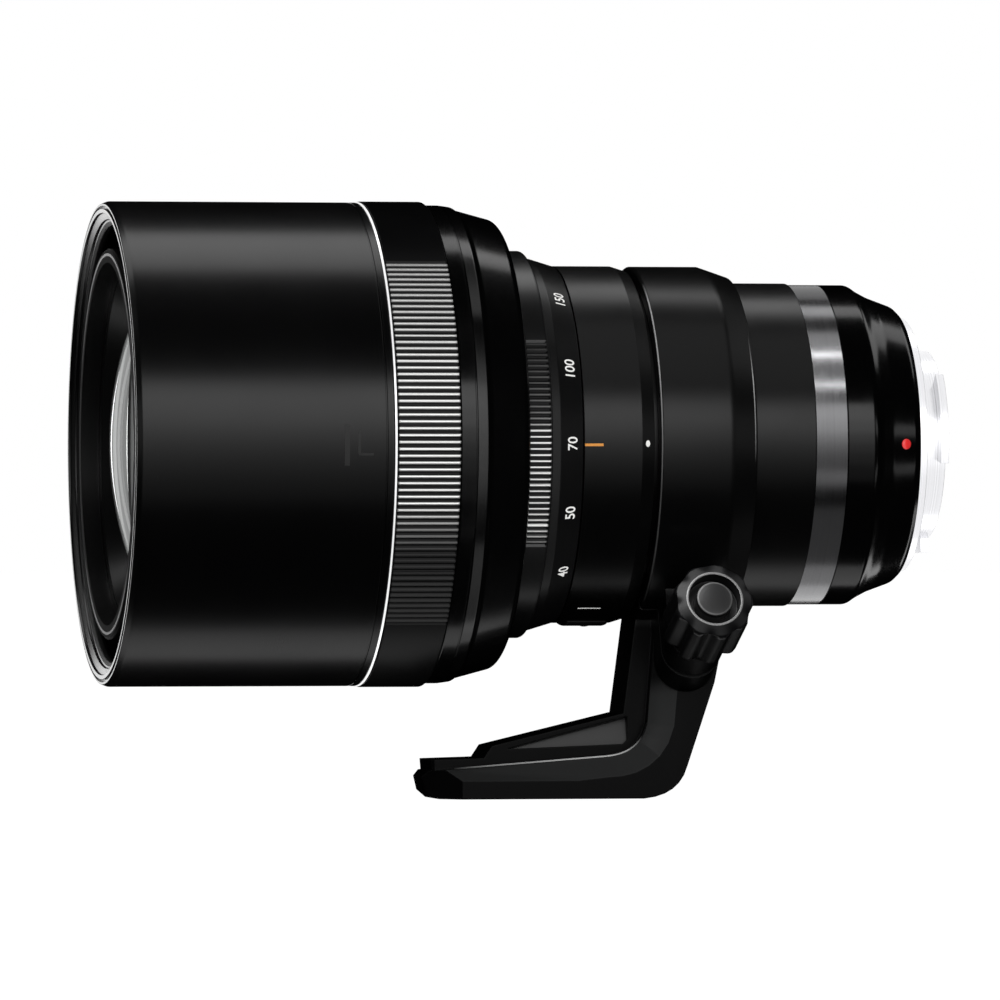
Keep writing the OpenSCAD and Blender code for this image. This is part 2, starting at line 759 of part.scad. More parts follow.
// Cam barrel with three helical slots for each sliding cell
module cam_barrel() color(dark_grey) on_axis()
    difference() {
        ring(cam_bore_r, cam_r, z_guide0 + guide_flange_t + face_gap, z_cam1);
        for (a = roller_angles) {
            cam_slot(a, z_compensator, compensator_lead);
            cam_slot(a, z_variator, variator_lead);
        }
        radial_block(0, key_root_r - seat_gap, cam_r + 1, key_w + 2 * seat_gap,
            z_key0 - seat_gap, z_key0 + key_len + seat_gap);
    }

variator_lens_r = 14;
variator_lens_t = 5.2;
variator_curves = [-48, -60];
compensator_lens_r = 16;
compensator_lens_t = 2.2;
compensator_curves = [-300, 48];
cell_lip = 1.5;
cell_lip_t = 1.2;

module variator_cell() color(dark_grey) on_axis()
    sliding_cell(z_variator, variator_lens_r);

module variator_lens() color(glass) on_axis()
    cell_lens(z_variator, variator_lens_r, variator_lens_t, variator_curves);

module variator_rollers() color(brass) on_axis()
    rollers(z_variator);

module compensator_cell() color(dark_grey) on_axis()
    sliding_cell(z_compensator, compensator_lens_r);

module compensator_lens() color(glass) on_axis()
    cell_lens(z_compensator, compensator_lens_r, compensator_lens_t, compensator_curves);

module compensator_rollers() color(brass) on_axis()
    rollers(z_compensator);

clutch_wall = 0.8;
clutch_inset = 0.8;

// Sleeve that slides back to switch to manual focus
module focus_clutch() color(dark_grey) on_axis()
    ring(ring_bore_r, ring_bore_r + clutch_wall, z_focus0 + clutch_inset, z_focus1 - clutch_inset);

// Ribbed focus ring, turning on the clutch sleeve
module focus_ring() color(black) on_axis() {
    ribs = 120;
    groove_w = 0.9;
    groove_depth = 0.5;
    margin = 1.8;
    difference() {
        ring(ring_bore_r + clutch_wall + run_gap, grip_r, z_focus0, z_focus1);
        grooves(grip_r - groove_depth, grip_r + 1, groove_w, z_focus0 + margin, z_focus1 - margin,
            0, 359.9, 360 / ribs);
    }
}

focus_lens_r = 12.5;
focus_lens_t = 3.6;
focus_curves = [-70, -80];
focus_cell_r = 20.4;
focus_lip = 1.2;
focus_lip_t = 1;
coil_w = 7;
coil_len = 4;

// Light cell of the focus lens, on its two rods
module focus_cell() color(black) on_axis() {
    z0 = z_focus_group - focus_group_len / 2;
    z1 = z_focus_group + focus_group_len / 2;
    difference() {
        turned([
            [focus_lens_r - focus_lip, z0], [focus_cell_r, z0], [focus_cell_r, z1],
            [focus_lens_r + seat_gap, z1], [focus_lens_r + seat_gap, z0 + focus_lip_t],
            [focus_lens_r - focus_lip, z0 + focus_lip_t]
        ]);
        for (a = [0, 180])
            axial_pin(a, rod_rc, rod_r + seat_gap, z0 - 1, z1 + 1);
    }
}

module focus_lens() color(glass) on_axis() {
    z0 = z_focus_group - focus_group_len / 2 + focus_lip_t;
    lens(focus_lens_r, z0, z0 + focus_lens_t, focus_curves[0], focus_curves[1]);
}

// Coils of the focus motor, on the cell's two flats
module focus_coils() color(copper) on_axis()
    for (a = [90, 270])
        radial_block(a, focus_cell_r, magnet_r0 - coil_gap, coil_w,
            z_focus_group - coil_len / 2, z_focus_group + coil_len / 2);

hood_sleeve_step = 2;
hood_sleeve_r = hood_r - hood_sleeve_step;
hood_sleeve_wall = 1.4;
hood_sleeve_over = 3.3;
z_sleeve0 = z_cone1 - hood_sleeve_over;

// Hood tube with the front lip, and the sleeve that the lock ring turns on.
// The lip reaches part of the way from the tube to the stop flange.
module hood_tube() color(black) on_axis() {
    inner = hood_r - hood_wall;
    lip_share = 0.41;
    lip_in = inner - lip_share * (inner - stop_r);
    lip_slope = 2;
    lip_t = 1.2;
    lip_back = 2.8;
    rim_w = 1.7;
    edge = 0.9;
    sleeve_in = hood_sleeve_r - hood_sleeve_wall;
    step = 1.6;
    turned([
        [sleeve_in, z_sleeve0], [hood_sleeve_r, z_sleeve0], [hood_sleeve_r, z_hood_trim1],
        [hood_r, z_hood_trim1], [hood_r, z_hood1 - edge], [hood_r - edge / 3, z_hood1 - edge / 3],
        [hood_r - edge, z_hood1], [hood_r - rim_w, z_hood1], [lip_in, z_hood1 - lip_slope],
        [lip_in, z_hood1 - lip_slope - lip_t], [inner, z_hood1 - lip_slope - lip_t - lip_back],
        [inner, z_hood_trim1 + 2 * step], [sleeve_in, z_hood_trim1 + step]
    ]);
}

// Thin bright ring between the hood tube and the lock ring
module hood_trim() color(chrome) on_axis() {
    crown = 0.1;
    edge = 0.2;
    turned([
        [hood_sleeve_r + seat_gap, z_lock1 + run_gap], [hood_r - crown, z_lock1 + run_gap],
        [hood_r + crown, z_lock1 + run_gap + edge], [hood_r + crown, z_hood_trim1 - edge],
        [hood_r - crown, z_hood_trim1], [hood_sleeve_r + seat_gap, z_hood_trim1]
    ]);
}

// Rear cone of the hood, with the band behind the lock ring and the bearing on the barrel.
// Its knee and the start of its bend lie at shares of the room between the barrel and the band.
module hood_cone() color(gloss_black) on_axis() {
    band_step = 0.5;
    band_len = 5.6;
    band_edge = [0.85, 0.7];
    bearing_wall = 3.4;
    bearing_len = 4.6;
    cone_wall = 1.2;
    nose_z = 0.3;
    knee_len = 1.9;
    knee_share = 0.7;
    bend_share = 0.45;
    band_r = hood_r - band_step;
    tail_r = lip_r + run_gap;
    room = band_r - tail_r;
    knee_r = tail_r + knee_share * room;
    z_knee = z_hood0 + knee_len;
    sleeve_seat = hood_sleeve_r + seat_gap;
    difference() {
        turned(concat([
            [hood_bore_r, z_hood0], [tail_r, z_hood0]],
            bend([tail_r + bend_share * room, z_hood0 + nose_z], [knee_r - nose_z, z_hood0 + 2 * nose_z],
                [knee_r, z_knee], 5),
            [[band_r - band_edge[0], z_cone1 - band_len - band_edge[1]], [band_r, z_cone1 - band_len],
            [band_r, z_cone1], [sleeve_seat, z_cone1],
            [sleeve_seat, z_sleeve0], [hood_sleeve_r - hood_sleeve_wall, z_sleeve0],
            [knee_r - cone_wall, z_knee + bearing_len], [hood_bore_r + bearing_wall, z_hood0 + bearing_len],
            [hood_bore_r, z_hood0 + bearing_len]
        ]));
        ring(hood_bore_r - 1, felt_r, z_felt, z_felt + felt_len);
    }
}

felt_depth = 0.9;
felt_r = hood_bore_r + felt_depth;
felt_len = 2;
felt_press = 0.15;
felt_inset = 1.2;
z_felt = z_hood0 + felt_inset;

// Felt ring in the hood's bearing, which keeps the hood where it is put
module hood_felt() color([0.05, 0.05, 0.05]) on_axis()
    ring(hood_bore_r - felt_press, felt_r - seat_gap, z_felt + seat_gap, z_felt + felt_len - seat_gap);

// Lock ring of the hood, ribbed where thumb and finger hold it
module hood_lock_ring() color(black) on_axis() {
    lock_r = hood_r + run_gap;
    edge = 0.5;
    margin = 1;
    groove_depth = 0.45;
    zone_half = 47;
    groove_w = lock_r * PI / 180 * lock_rib_pitch * 0.5;
    difference() {
        turned([
            [hood_sleeve_r + run_gap, z_lock0], [lock_r - edge, z_lock0], [lock_r, z_lock0 + edge],
            [lock_r, z_lock1 - edge], [lock_r - edge, z_lock1], [hood_sleeve_r + run_gap, z_lock1]
        ]);
        for (centre = [-90, 90])
            grooves(lock_r - groove_depth, lock_r + 1, groove_w, z_lock0 + margin, z_lock1 - margin,
                centre - zone_half, centre + zone_half, lock_rib_pitch);
    }
}

foot_back = 1.5;
z_foot = z_collar0 - foot_back;
z_toe = z_collar0 + foot_reach;

// Inner edge of the foot's main L, from the toe round to the stalk, as [down from the axis, station]
function foot_inside() =
    let (d = foot_drop, z = z_foot)
        concat(
            [[-(d - 5.6), z_toe - 1.2]],
            bend([-(d - 8.3), z + 27.4], [-(d - 8.8), z + 20.2], [-(d - 15), z + 18.9], 6),
            [[-34, z + 17.2]]
        );

// Side outline of the foot's main L
function foot_outline() =
    let (d = foot_drop, z = z_foot)
        concat(
            [[-34, z + 3], [-(d - 23.1), z + 5.7]],
            bend([-(d - 6.5), z + 11.2], [-(d - 0.6), z + 12.8], [-d, z + 20], 6),
            [[-d, z_toe - 3], [-(d - 1.6), z_toe - 0.8], [-(d - 4.4), z_toe]],
            foot_inside()
        );

// Side outline of the thinner web between the stalk and the plate
function web_outline() =
    let (d = foot_drop, z = z_foot)
        [[-34, z + 15], [-34, z + 20.7], [-(d - 16.9), z + 23.3], [-(d - 10.5), z + 50],
         [-(d - 8.1), z + 51.6], [-(d - 7.8), z_toe - 1.6], [-(d - 4), z_toe - 2], [-(d - 4), z + 20],
         [-(d - 20), z + 15]];

// Triangular recess in the web's sides
function web_recess() =
    let (d = foot_drop, z = z_foot)
        [[-(d - 16), z + 22.5], [-(d - 11.6), z + 22.4], [-(d - 10.6), z + 23.4], [-(d - 9.7), z + 46.9]];

// Plate standing on edge along the axis, from an outline of [down, station] points
module upright(outline, w)
    rotate([90, 0, 0]) linear_extrude(height = w, center = true) polygon(outline);

socket_wall = 1.5;
socket_r = tripod_thread_r + socket_wall;
socket_len = 8;
socket_inset = 39;
z_socket = z_foot + socket_inset;

// Cutter for the bevel along the L's inner edge, on the side that faces along the local y axis.
// The bevel widens from the toe to the bend and on to the stalk, and the cutter stands out past it.
module inside_bevel() {
    depth = 2.4;
    widths = [1.8, 4, 5.2];
    over = 0.3;
    out = 0.6;
    edge = foot_inside();
    last = len(edge) - 1;
    points = [for (i = [0 : last])
        let (
            ahead = edge[min(i + 1, last)] - edge[max(i - 1, 0)],
            inward = [ahead[1], -ahead[0]] / norm(ahead),
            at = edge[i] + (i == 0 ? 3 : 0) * (edge[0] - edge[1]) / norm(edge[0] - edge[1]),
            w = i == 0 ? widths[0] : widths[1] + (widths[2] - widths[1]) * (i - 1) / (last - 1),
            deep = at + (1 + over) * w * inward,
            high = at - out * w * inward
        )
        each [[deep[0], foot_w / 2 + over * depth, deep[1]],
              [high[0], foot_w / 2 + over * depth, high[1]],
              [high[0], foot_w / 2 - (1 + out) * depth, high[1]]]];
    sides = [for (i = [0 : last - 1], k = [0 : 2], half = [0, 1])
        let (p = 3 * i + k, q = 3 * i + (k + 1) % 3)
            half == 0 ? [p, q + 3, q] : [p, p + 3, q + 3]];
    polyhedron(points, concat(sides, [[0, 1, 2], [3 * last, 3 * last + 2, 3 * last + 1]]));
}

// Tripod collar, one casting: ring, clamp lugs, stalk, web and foot plate
module tripod_collar() color(black) on_axis() {
    web_w = foot_w * 0.6;
    nose_cut = 5;
    shoulder = [2.9, 5.9];
    bevel = 1;
    recess_depth = 0.9;
    recess_tilt = 12;
    recess_drop = foot_drop - 9.7;
    recess_cut = 8;
    lug_root = 1.6;
    lug_depth = clamp_r - collar_bore_r - lug_root;
    difference() {
        union() {
            turned([
                [collar_bore_r, z_collar0], [collar_r - 2 * bevel, z_collar0],
                [collar_r - bevel, z_collar0 + shoulder[0]], [collar_r, z_collar0 + shoulder[1]],
                [collar_r, z_collar1 - bevel / 2], [collar_r - bevel / 2, z_collar1],
                [collar_bore_r, z_collar1]
            ]);
            on_clamp() {
                for (side = [-1, 1])
                    translate([0, 0, side * (slit_half + lug_t / 2)])
                        cylinder(r = lug_half_w, h = lug_t, center = true);
                for (side = [-1, 1])
                    translate([-lug_depth / 2, 0, side * (slit_half + lug_t / 2)])
                        cube([lug_depth, 2 * lug_half_w, lug_t], center = true);
            }
            difference() {
                union() {
                    difference() {
                        upright(foot_outline(), foot_w);
                        inside_bevel();
                        mirror([0, 1, 0]) inside_bevel();
                    }
                    difference() {
                        upright(web_outline(), web_w);
                        for (side = [-1, 1])
                            translate([-recess_drop, side * (web_w / 2 - recess_depth), 0])
                                rotate([0, 0, -side * recess_tilt])
                                    translate([recess_drop, side * recess_cut / 2, 0])
                                        upright(web_recess(), recess_cut);
                    }
                }
                cylinder(r = collar_bore_r + bevel / 2, h = 2 * z_collar1);
                for (side = [-1, 1])
                    translate([-foot_drop, side * foot_w / 2, z_toe])
                        rotate([side * 45, 0, 0])
                            cube([40, 2 * nose_cut, 2 * nose_cut], center = true);
            }
        }
        on_clamp() {
            translate([collar_bore_r - 1 - clamp_r, -collar_len, -slit_half])
                cube([2 * clamp_r, 2 * collar_len, 2 * slit_half]);
            cylinder(r = clamp_hole_r, h = 2 * lug_face + 2, center = true);
        }
        translate([-foot_drop - 1, 0, z_socket])
            rotate([0, 90, 0]) cylinder(r = socket_r, h = socket_len + 1);
    }
}

liner_inset = 0.5;

// Low friction liner in the collar's bore
module collar_liner() color(dark_grey) on_axis()
    ring(liner_bore_r, liner_bore_r + liner_wall, z_collar0 + liner_inset, z_collar1 - liner_inset);

// Threaded steel socket in the foot
module tripod_bush() color(steel) on_axis()
    translate([-foot_drop, 0, z_socket]) rotate([0, 90, 0])
        difference() {
            cylinder(r = socket_r - seat_gap, h = socket_len - seat_gap);
            translate([0, 0, -1]) cylinder(r = tripod_thread_r, h = socket_len);
        }

// Washer between the lug and the knob
module clamp_washer() color(steel) on_axis() on_clamp()
    translate([0, 0, lug_face + run_gap])
        difference() {
            cylinder(r = washer_r, h = washer_t);
            translate([0, 0, -1]) cylinder(r = clamp_hole_r, h = washer_t + 2);
        }

knob_cap_r = 3.6;
knob_cap_rise = 0.4;
knob_cap_curve = 17.8;
knob_well = 1.4;
knob_groove_w = 1.6;
knob_rim_w = 0.4;

// Fluted clamp knob
module clamp_knob() color(black) on_axis() on_clamp() {
    flute_r = 1.9;
    flute_stop = 1.1;
    back_edge = 1.5;
    shoulder = [0.3, 1, 1.7];
    groove_r = knob_cap_r + knob_groove_w;
    difference() {
        turned([
            [clamp_screw_r + seat_gap, knob_s0], [knob_r - back_edge, knob_s0],
            [knob_r, knob_s0 + back_edge], [knob_r, knob_s1 - shoulder[2]],
            [knob_r - shoulder[0], knob_s1 - shoulder[1]], [groove_r + knob_rim_w, knob_s1],
            [groove_r, knob_s1], [groove_r, knob_s1 - knob_well],
            [clamp_screw_r + seat_gap, knob_s1 - knob_well]
        ]);
        for (i = [0 : knob_lobes - 1])
            rotate([0, 0, i * 360 / knob_lobes])
                translate([knob_r + flute_r * 0.35, 0, knob_s0 - 1])
                    cylinder(r = flute_r, h = knob_len - flute_stop);
    }
}

// Clamp screw, from the far lug into the knob
module clamp_screw() color(steel) on_axis() on_clamp()
    translate([0, 0, -lug_face])
        cylinder(r = clamp_screw_r, h = lug_face + knob_s1 - knob_well - run_gap);

// Domed cap in the knob's face
module knob_cap() color(dark_grey) on_axis() on_clamp()
    intersection() {
        translate([0, 0, knob_s1 - knob_well]) cylinder(r = knob_cap_r, h = 2 * knob_well);
        translate([0, 0, knob_s1 + knob_cap_rise - knob_cap_curve]) sphere(r = knob_cap_curve);
    }

// Function button in its pocket
module function_button() color(dark_grey) on_axis()
    intersection() {
        radial_block(180, button_floor_r + switch_h + button_throw, index_r + button_w, button_w,
            z_button - button_len / 2, z_button + button_len / 2);
        cylinder(r = index_r + button_rise, h = z_front0);
    }

main_barrel();
trim_ring();
mount_housing();
mount_flange();
mount_screws();
contact_block();
contact_pins();
rear_baffle();
rear_cell();
rear_lens();
main_board();
guide_barrel();
iris_housing();
iris_cover();
front_barrel();
front_cell();
front_doublet();
front_element();
name_ring();
filter_ring();
focus_rods();
focus_magnets();
button_switch();
zoom_ring();
zoom_key();
cam_barrel();
variator_cell();
variator_lens();
variator_rollers();
compensator_cell();
compensator_lens();
compensator_rollers();
focus_clutch();
focus_ring();
focus_cell();
focus_lens();
focus_coils();
iris_ring();
hood_tube();
hood_trim();
hood_cone();
hood_felt();
hood_lock_ring();
tripod_collar();
collar_liner();
tripod_bush();
clamp_washer();
clamp_knob();
clamp_screw();
knob_cap();
function_button();
for (i = [1 : blade_count])
    iris_blade(i);
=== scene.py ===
import json
import bmesh
import bpy
import numpy as np
from mathutils import Matrix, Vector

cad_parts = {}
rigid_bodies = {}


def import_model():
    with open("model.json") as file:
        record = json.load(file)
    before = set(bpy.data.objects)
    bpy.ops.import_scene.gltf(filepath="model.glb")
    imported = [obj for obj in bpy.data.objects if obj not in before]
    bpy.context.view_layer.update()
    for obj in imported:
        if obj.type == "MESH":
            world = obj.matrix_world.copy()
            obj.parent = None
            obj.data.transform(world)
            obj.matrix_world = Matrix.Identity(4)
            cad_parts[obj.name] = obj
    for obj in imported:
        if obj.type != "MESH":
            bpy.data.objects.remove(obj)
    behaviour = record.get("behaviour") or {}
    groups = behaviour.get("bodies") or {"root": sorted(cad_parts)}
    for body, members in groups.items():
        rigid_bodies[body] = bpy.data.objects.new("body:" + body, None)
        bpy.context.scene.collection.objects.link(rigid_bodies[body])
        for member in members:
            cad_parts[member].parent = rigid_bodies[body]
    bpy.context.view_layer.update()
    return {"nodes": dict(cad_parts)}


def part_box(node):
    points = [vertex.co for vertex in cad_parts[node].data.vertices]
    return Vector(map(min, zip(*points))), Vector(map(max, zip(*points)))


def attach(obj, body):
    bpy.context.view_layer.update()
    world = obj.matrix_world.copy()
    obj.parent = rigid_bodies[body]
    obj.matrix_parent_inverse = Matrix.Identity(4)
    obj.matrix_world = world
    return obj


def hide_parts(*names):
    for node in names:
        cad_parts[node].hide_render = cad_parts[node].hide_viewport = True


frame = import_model()


# Mount flange. The bright bayonet ring that locks into the camera: plated brass, turned on a
# lathe, screwed to the rear cover. Fine turning lines run round it.
mm = 0.001


class Wire:
    """An output socket in a material. Operators on it add Math nodes, node() adds any other node."""

    def __init__(self, tree, socket=None):
        self.tree, self.socket = tree, socket

    def node(self, kind, settings={}, sockets={}, out=0):
        """Adds a shader node: its settings come first, then each input takes its value or its wire."""
        made = self.tree.nodes.new("ShaderNode" + kind)
        for key, value in settings.items():
            setattr(made, key, value)
        for key, value in sockets.items():
            if isinstance(value, Wire):
                self.tree.links.new(value.socket, made.inputs[key])
            else:
                made.inputs[key].default_value = value
        return Wire(self.tree, made.outputs[out] if made.outputs else None)

    def math(self, operation, first, second=0.0):
        """Adds a Math node."""
        return self.node("Math", {"operation": operation}, {0: first, 1: second})

    def __add__(self, other):
        return self.math("ADD", self, other)

    def __sub__(self, other):
        return self.math("SUBTRACT", self, other)

    def __rsub__(self, other):
        return self.math("SUBTRACT", other, self)

    def __mul__(self, other):
        return self.math("MULTIPLY", self, other)

    __radd__, __rmul__ = __add__, __mul__


def new_finish(name):
    """A new material with nothing in it but its object coordinates, the wire that others start from."""
    material = bpy.data.materials.new(name)
    material.use_nodes = True
    material.node_tree.nodes.clear()
    return material, Wire(material.node_tree).node("TexCoord", out="Object")


def shade(tone, factor=1.0):
    """A colour, or the grey of one number, made lighter or darker by a factor, with full alpha."""
    return tuple(factor * part for part in np.broadcast_to(tone, 3)) + (1.0,)


def between(factor, dark, light):
    """The colour that lies at a factor from one colour to another."""
    return factor.node("Mix", {"data_type": "RGBA"}, {0: factor, 6: dark, 7: light}, out=2)


def mottled(factor, tone, low=0.7, high=1.3):
    """A tone that goes from darker to lighter as the factor goes from 0 to 1."""
    return between(factor, shade(tone, low), shade(tone, high))


def complete(material, sockets):
    """Ends a material in one principled shader with these values and wires on its sockets."""
    end = Wire(material.node_tree)
    end.node("OutputMaterial", {}, {"Surface": end.node("BsdfPrincipled", {}, sockets)})
    return material


def part_of(vector, axis):
    """One of a vector's three parts."""
    return vector.node("SeparateXYZ", {}, {"Vector": vector}, out=axis)


def noise(place, scale, detail=3.0):
    """Noise from 0 to 1 with that many grains to the metre."""
    return place.node("TexNoise", {}, {"Vector": place, "Scale": scale, "Detail": detail})


def lathe_lines(place, line):
    """Noise along the optical axis only: lines of about that width in millimetres run round a piece."""
    return place.node("TexNoise", {"noise_dimensions": "1D"},
                      {"W": part_of(place, "X"), "Scale": 1 / (line * mm), "Detail": 3.0})


def relief(height, depth, **under):
    """A bump of that depth in millimetres, on the normal that lies under it."""
    return height.node("Bump", {}, {"Distance": depth * mm, "Height": height, **under})


def turned_metal(name, tone, roughness, line, depth, edge):
    """Bright metal off a lathe: its lines show in tone, gloss and height, and a broad noise adds faint
    smudges from handling. Sizes of the finishes are in millimetres."""
    material, place = new_finish(name)
    lines, smudge = lathe_lines(place, line), noise(place, 160.0)
    soft = place.node("Bevel", {"samples": 4}, {"Radius": edge * mm})
    return complete(material, {
        "Base Color": mottled(lines, tone, 0.82, 1.12),
        "Metallic": 1.0,
        "Roughness": roughness + 0.10 * (lines - 0.5) + 0.10 * (smudge - 0.5),
        "Normal": relief(lines, depth, Normal=soft),
    })


def dress(finish, *names):
    """Gives CAD nodes their finish."""
    for name in names:
        frame["nodes"][name].material_slots[0].material = finish


dress(turned_metal("plated_flange", (0.80, 0.80, 0.82), 0.22, 0.25, 0.002, 0.12), "mount_flange")


# Mount screws, contacts and baffle. Steel countersunk screws hold the flange; a black plastic
# block inside the spigot carries the gold plated contact pins; a flocked plate frames the image.
def fine_metal(name, tone, roughness, grain, depth):
    """Cut or plated metal without a lathe's lines: a fine noise gives tone, gloss and a slight relief."""
    material, place = new_finish(name)
    speck = noise(place, 1 / (grain * mm))
    return complete(material, {
        "Base Color": mottled(speck, tone, 0.75, 1.1),
        "Metallic": 1.0,
        "Roughness": roughness + 0.15 * (speck - 0.5),
        "Normal": relief(speck, depth),
    })


def stored(place, name):
    """A number that each point carries as an attribute."""
    return place.node("Attribute", {"attribute_name": name}, out="Fac")


def coated(name, tone, roughness, grain, depth, edge=0.1, gloss_level=0.5, bare_and_highlight=None):
    """Paint, anodising or moulded plastic: a broad noise shifts its tone and gloss, and a fine one gives it
    grain. Where the point attribute for bare metal and painted highlight is 1, the coat is cut away down to
    bright metal. On the ribs that bright metal also fades round the ring as a painted highlight. Where the
    attribute smooth is 1, it has a clear layer on top."""
    material, place = new_finish(name)
    cloud, speck = noise(place, 90.0, 4.0), noise(place, 1 / (grain * mm), 2.0)
    soft = place.node("Bevel", {"samples": 4}, {"Radius": edge * mm})
    colour = mottled(0.6 * cloud + 0.4 * speck, tone)
    gloss = roughness + 0.08 * (cloud - 0.5) + 0.06 * (speck - 0.5)
    sockets = {"Normal": relief(speck, depth, Normal=soft), "Specular IOR Level": gloss_level}
    if bare_and_highlight:
        cut, smooth = stored(place, "bare_and_highlight"), stored(place, "smooth")
        colour = between(cut, colour, shade(bare_and_highlight))
        gloss = gloss * (1 - cut) + 0.40 * cut
        sockets.update({"Metallic": cut, "Coat Weight": smooth, "Coat Roughness": 0.28})
    return complete(material, {**sockets, "Base Color": colour, "Roughness": gloss})


steel = fine_metal("cut_steel", (0.56, 0.56, 0.58), 0.30, 0.2, 0.002)
dress(steel, "mount_screws")
dress(fine_metal("gold_plate", (0.90, 0.66, 0.28), 0.22, 0.15, 0.001), "contact_pins")
dress(coated("black_moulding", (0.014, 0.014, 0.015), 0.42, 0.20, 0.004), "contact_block")
flocked = coated("flocked_black", 0.006, 0.85, 0.12, 0.02)
dress(flocked, "rear_baffle")


# Rear cover. The glossy lacquered cover that tapers from the bright ring to the flange in a long
# slope, a step and a short bevel. It is turned, then lacquered, and screwed on from behind.
def rounded(corners, steps=6, most=0.42, support=1.12, least=1e-6):
    """Closed outline with rounded corners. Each corner is (station, radius, fillet): a quadratic bend
    from one fillet length before the corner to one after it, at most so much of the shorter side, with
    a support point outside each end. Points closer than the least distance are left out."""
    corners = np.array(corners, float)
    points, fillet = corners[:, :2], corners[:, 2:]
    sides = [np.roll(points, shift, axis=0) - points for shift in (1, -1)]
    lengths = [np.linalg.norm(side, axis=1, keepdims=True) for side in sides]
    reach = np.minimum(fillet, most * np.minimum(*lengths))
    start, end = [points + side / length * reach for side, length in zip(sides, lengths)]
    before, after = [points + side / length * reach * support for side, length in zip(sides, lengths)]
    t = np.linspace(0, 1, steps + 1)[None, :, None]
    bend = (1 - t) ** 2 * start[:, None] + 2 * t * (1 - t) * points[:, None] + t ** 2 * end[:, None]
    outline = np.concatenate([before[:, None], bend, after[:, None]], axis=1).reshape(-1, 2)
    return outline[np.linalg.norm(outline - np.roll(outline, 1, axis=0), axis=1) > least]


def in_scene(name, data):
    """A new object in the scene."""
    made = bpy.data.objects.new(name, data)
    bpy.context.scene.collection.objects.link(made)
    return made


def mesh_piece(name, points, faces):
    """A new object from points in millimetres and the faces between them."""
    mesh = bpy.data.meshes.new(name)
    mesh.from_pydata((points * mm).tolist(), [], faces)
    return in_scene(name, mesh)


def grid_mesh(name, grid, poles=None):
    """Closed mesh from a grid of points in millimetres. Its rows go round and close on themselves. Its
    columns close too, or each end meets in a pole. Faces that come out inside out are turned round."""
    rows, columns = grid.shape[:2]
    index = np.arange(rows * columns).reshape(rows, columns)
    last = columns if poles is None else columns - 1
    next_row, next_column = np.roll(index, -1, axis=0), np.roll(index, -1, axis=1)
    corner = np.roll(next_row, -1, axis=1)
    quads = np.stack([index, next_column, corner, next_row], axis=-1)[:, :last].reshape(-1, 4)
    points, fans = grid.reshape(-1, 3), np.zeros((0, 3), int)
    if poles is not None:
        ends = np.full((2, rows), rows * columns) + [[0], [1]]
        fans = np.concatenate([np.stack([ends[0], index[:, 0], next_row[:, 0]], axis=-1),
                               np.stack([ends[1], next_row[:, -1], index[:, -1]], axis=-1)])
        points = np.concatenate([points, np.array(poles, float)])
    a, b, c, d = (points[quads[:, i]] for i in range(4))
    inside_out = np.einsum("ij,ij->", a, np.cross(b, c)) + np.einsum("ij,ij->", a, np.cross(c, d)) < 0
    turn = -1 if inside_out else 1
    piece = mesh_piece(name, points, quads[:, ::turn].tolist() + fans[:, ::turn].tolist())
    piece.data.shade_smooth()
    return piece


def circle(steps):
    """Angles in radians all the way round."""
    return np.linspace(0, 2 * np.pi, steps, endpoint=False)


all_round = circle(360)


def turned(name, outline, angles=all_round, sink=0.0, poles=None):
    """Surface of revolution about the optical axis: every outline point (station, radius) goes round
    once, with sink (angle by point) taken off its radius. Angle 0 is up, -90 degrees faces the viewer."""
    station = np.broadcast_to(-outline[:, 0], (len(angles), len(outline)))
    radius = outline[:, 1] - sink + np.zeros_like(station)
    grid = np.stack([station, radius * np.sin(angles)[:, None], radius * np.cos(angles)[:, None]], axis=-1)
    return grid_mesh(name, grid, poles)


def fit(piece, finish, body, slot, *nodes):
    """Gives a new piece its finish and its body, and puts it in its CAD nodes' place. The slot is not used."""
    piece.data.materials.append(finish)
    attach(piece, body)
    if nodes:
        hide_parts(*nodes)


def extent(node):
    """A ring's rear station, front station and outer radius in millimetres, from its CAD box."""
    low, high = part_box(node)
    return -high[0] / mm, -low[0] / mm, high[1] / mm


lacquer = coated("black_lacquer", (0.0025, 0.0025, 0.0027), 0.16, 0.9, 0.0004)
cover_z0, cover_z1, cover_r = extent("mount_housing")
flange_r = extent("mount_flange")[2]
cover_bore, cover_floor, cover_in = 21.5, cover_z0 + 3.4, cover_r - 2.2
cover_slope = np.array([(cover_z0, flange_r + 1.15), (cover_z0 + 1.15, flange_r + 2.3),
                        (cover_z0 + 6.1, cover_r - 2.4), (cover_z0 + 8.6, cover_r - 1.1),
                        (cover_z0 + 10.2, cover_r), (cover_z1, cover_r)])
cover_fillets = (0.25, 0.5, 0.5, 0.5, 0.6, 0.15)
cover_inside = [(cover_z1, cover_in, 0.1), (cover_z0 + 9, cover_in, 0.2), (cover_floor, flange_r + 0.4, 0.2),
                (cover_floor, cover_bore, 0.1), (cover_z0, cover_bore, 0.1)]
fit(turned("rear_cover", rounded([(*point, fillet) for point, fillet in zip(cover_slope, cover_fillets)]
                                 + cover_inside)),
    lacquer, "barrel", "gloss_black", "mount_housing")


# Alignment dot. A small red enamel dome set into the rear cover; it meets the camera's own dot
# when the lens is put on.
def ink(name, tone, roughness, under=None):
    """Printed or filled-in colour: a fine noise makes its cover slightly uneven. Over another tone, the colour
    is there only as far as the point attribute for bare metal and painted highlight says; on edges this makes a
    painted highlight."""
    material, place = new_finish(name)
    speck = noise(place, 4000.0, 2.0)
    colour = mottled(speck, tone, 0.85, 1.1)
    if under:
        colour = between(stored(place, "bare_and_highlight"), shade(under), colour)
    return complete(material, {
        "Base Color": colour,
        "Roughness": roughness + 0.1 * (speck - 0.5),
        "Normal": relief(speck, 0.004),
    })


dome_rows, dome_columns = 48, 13


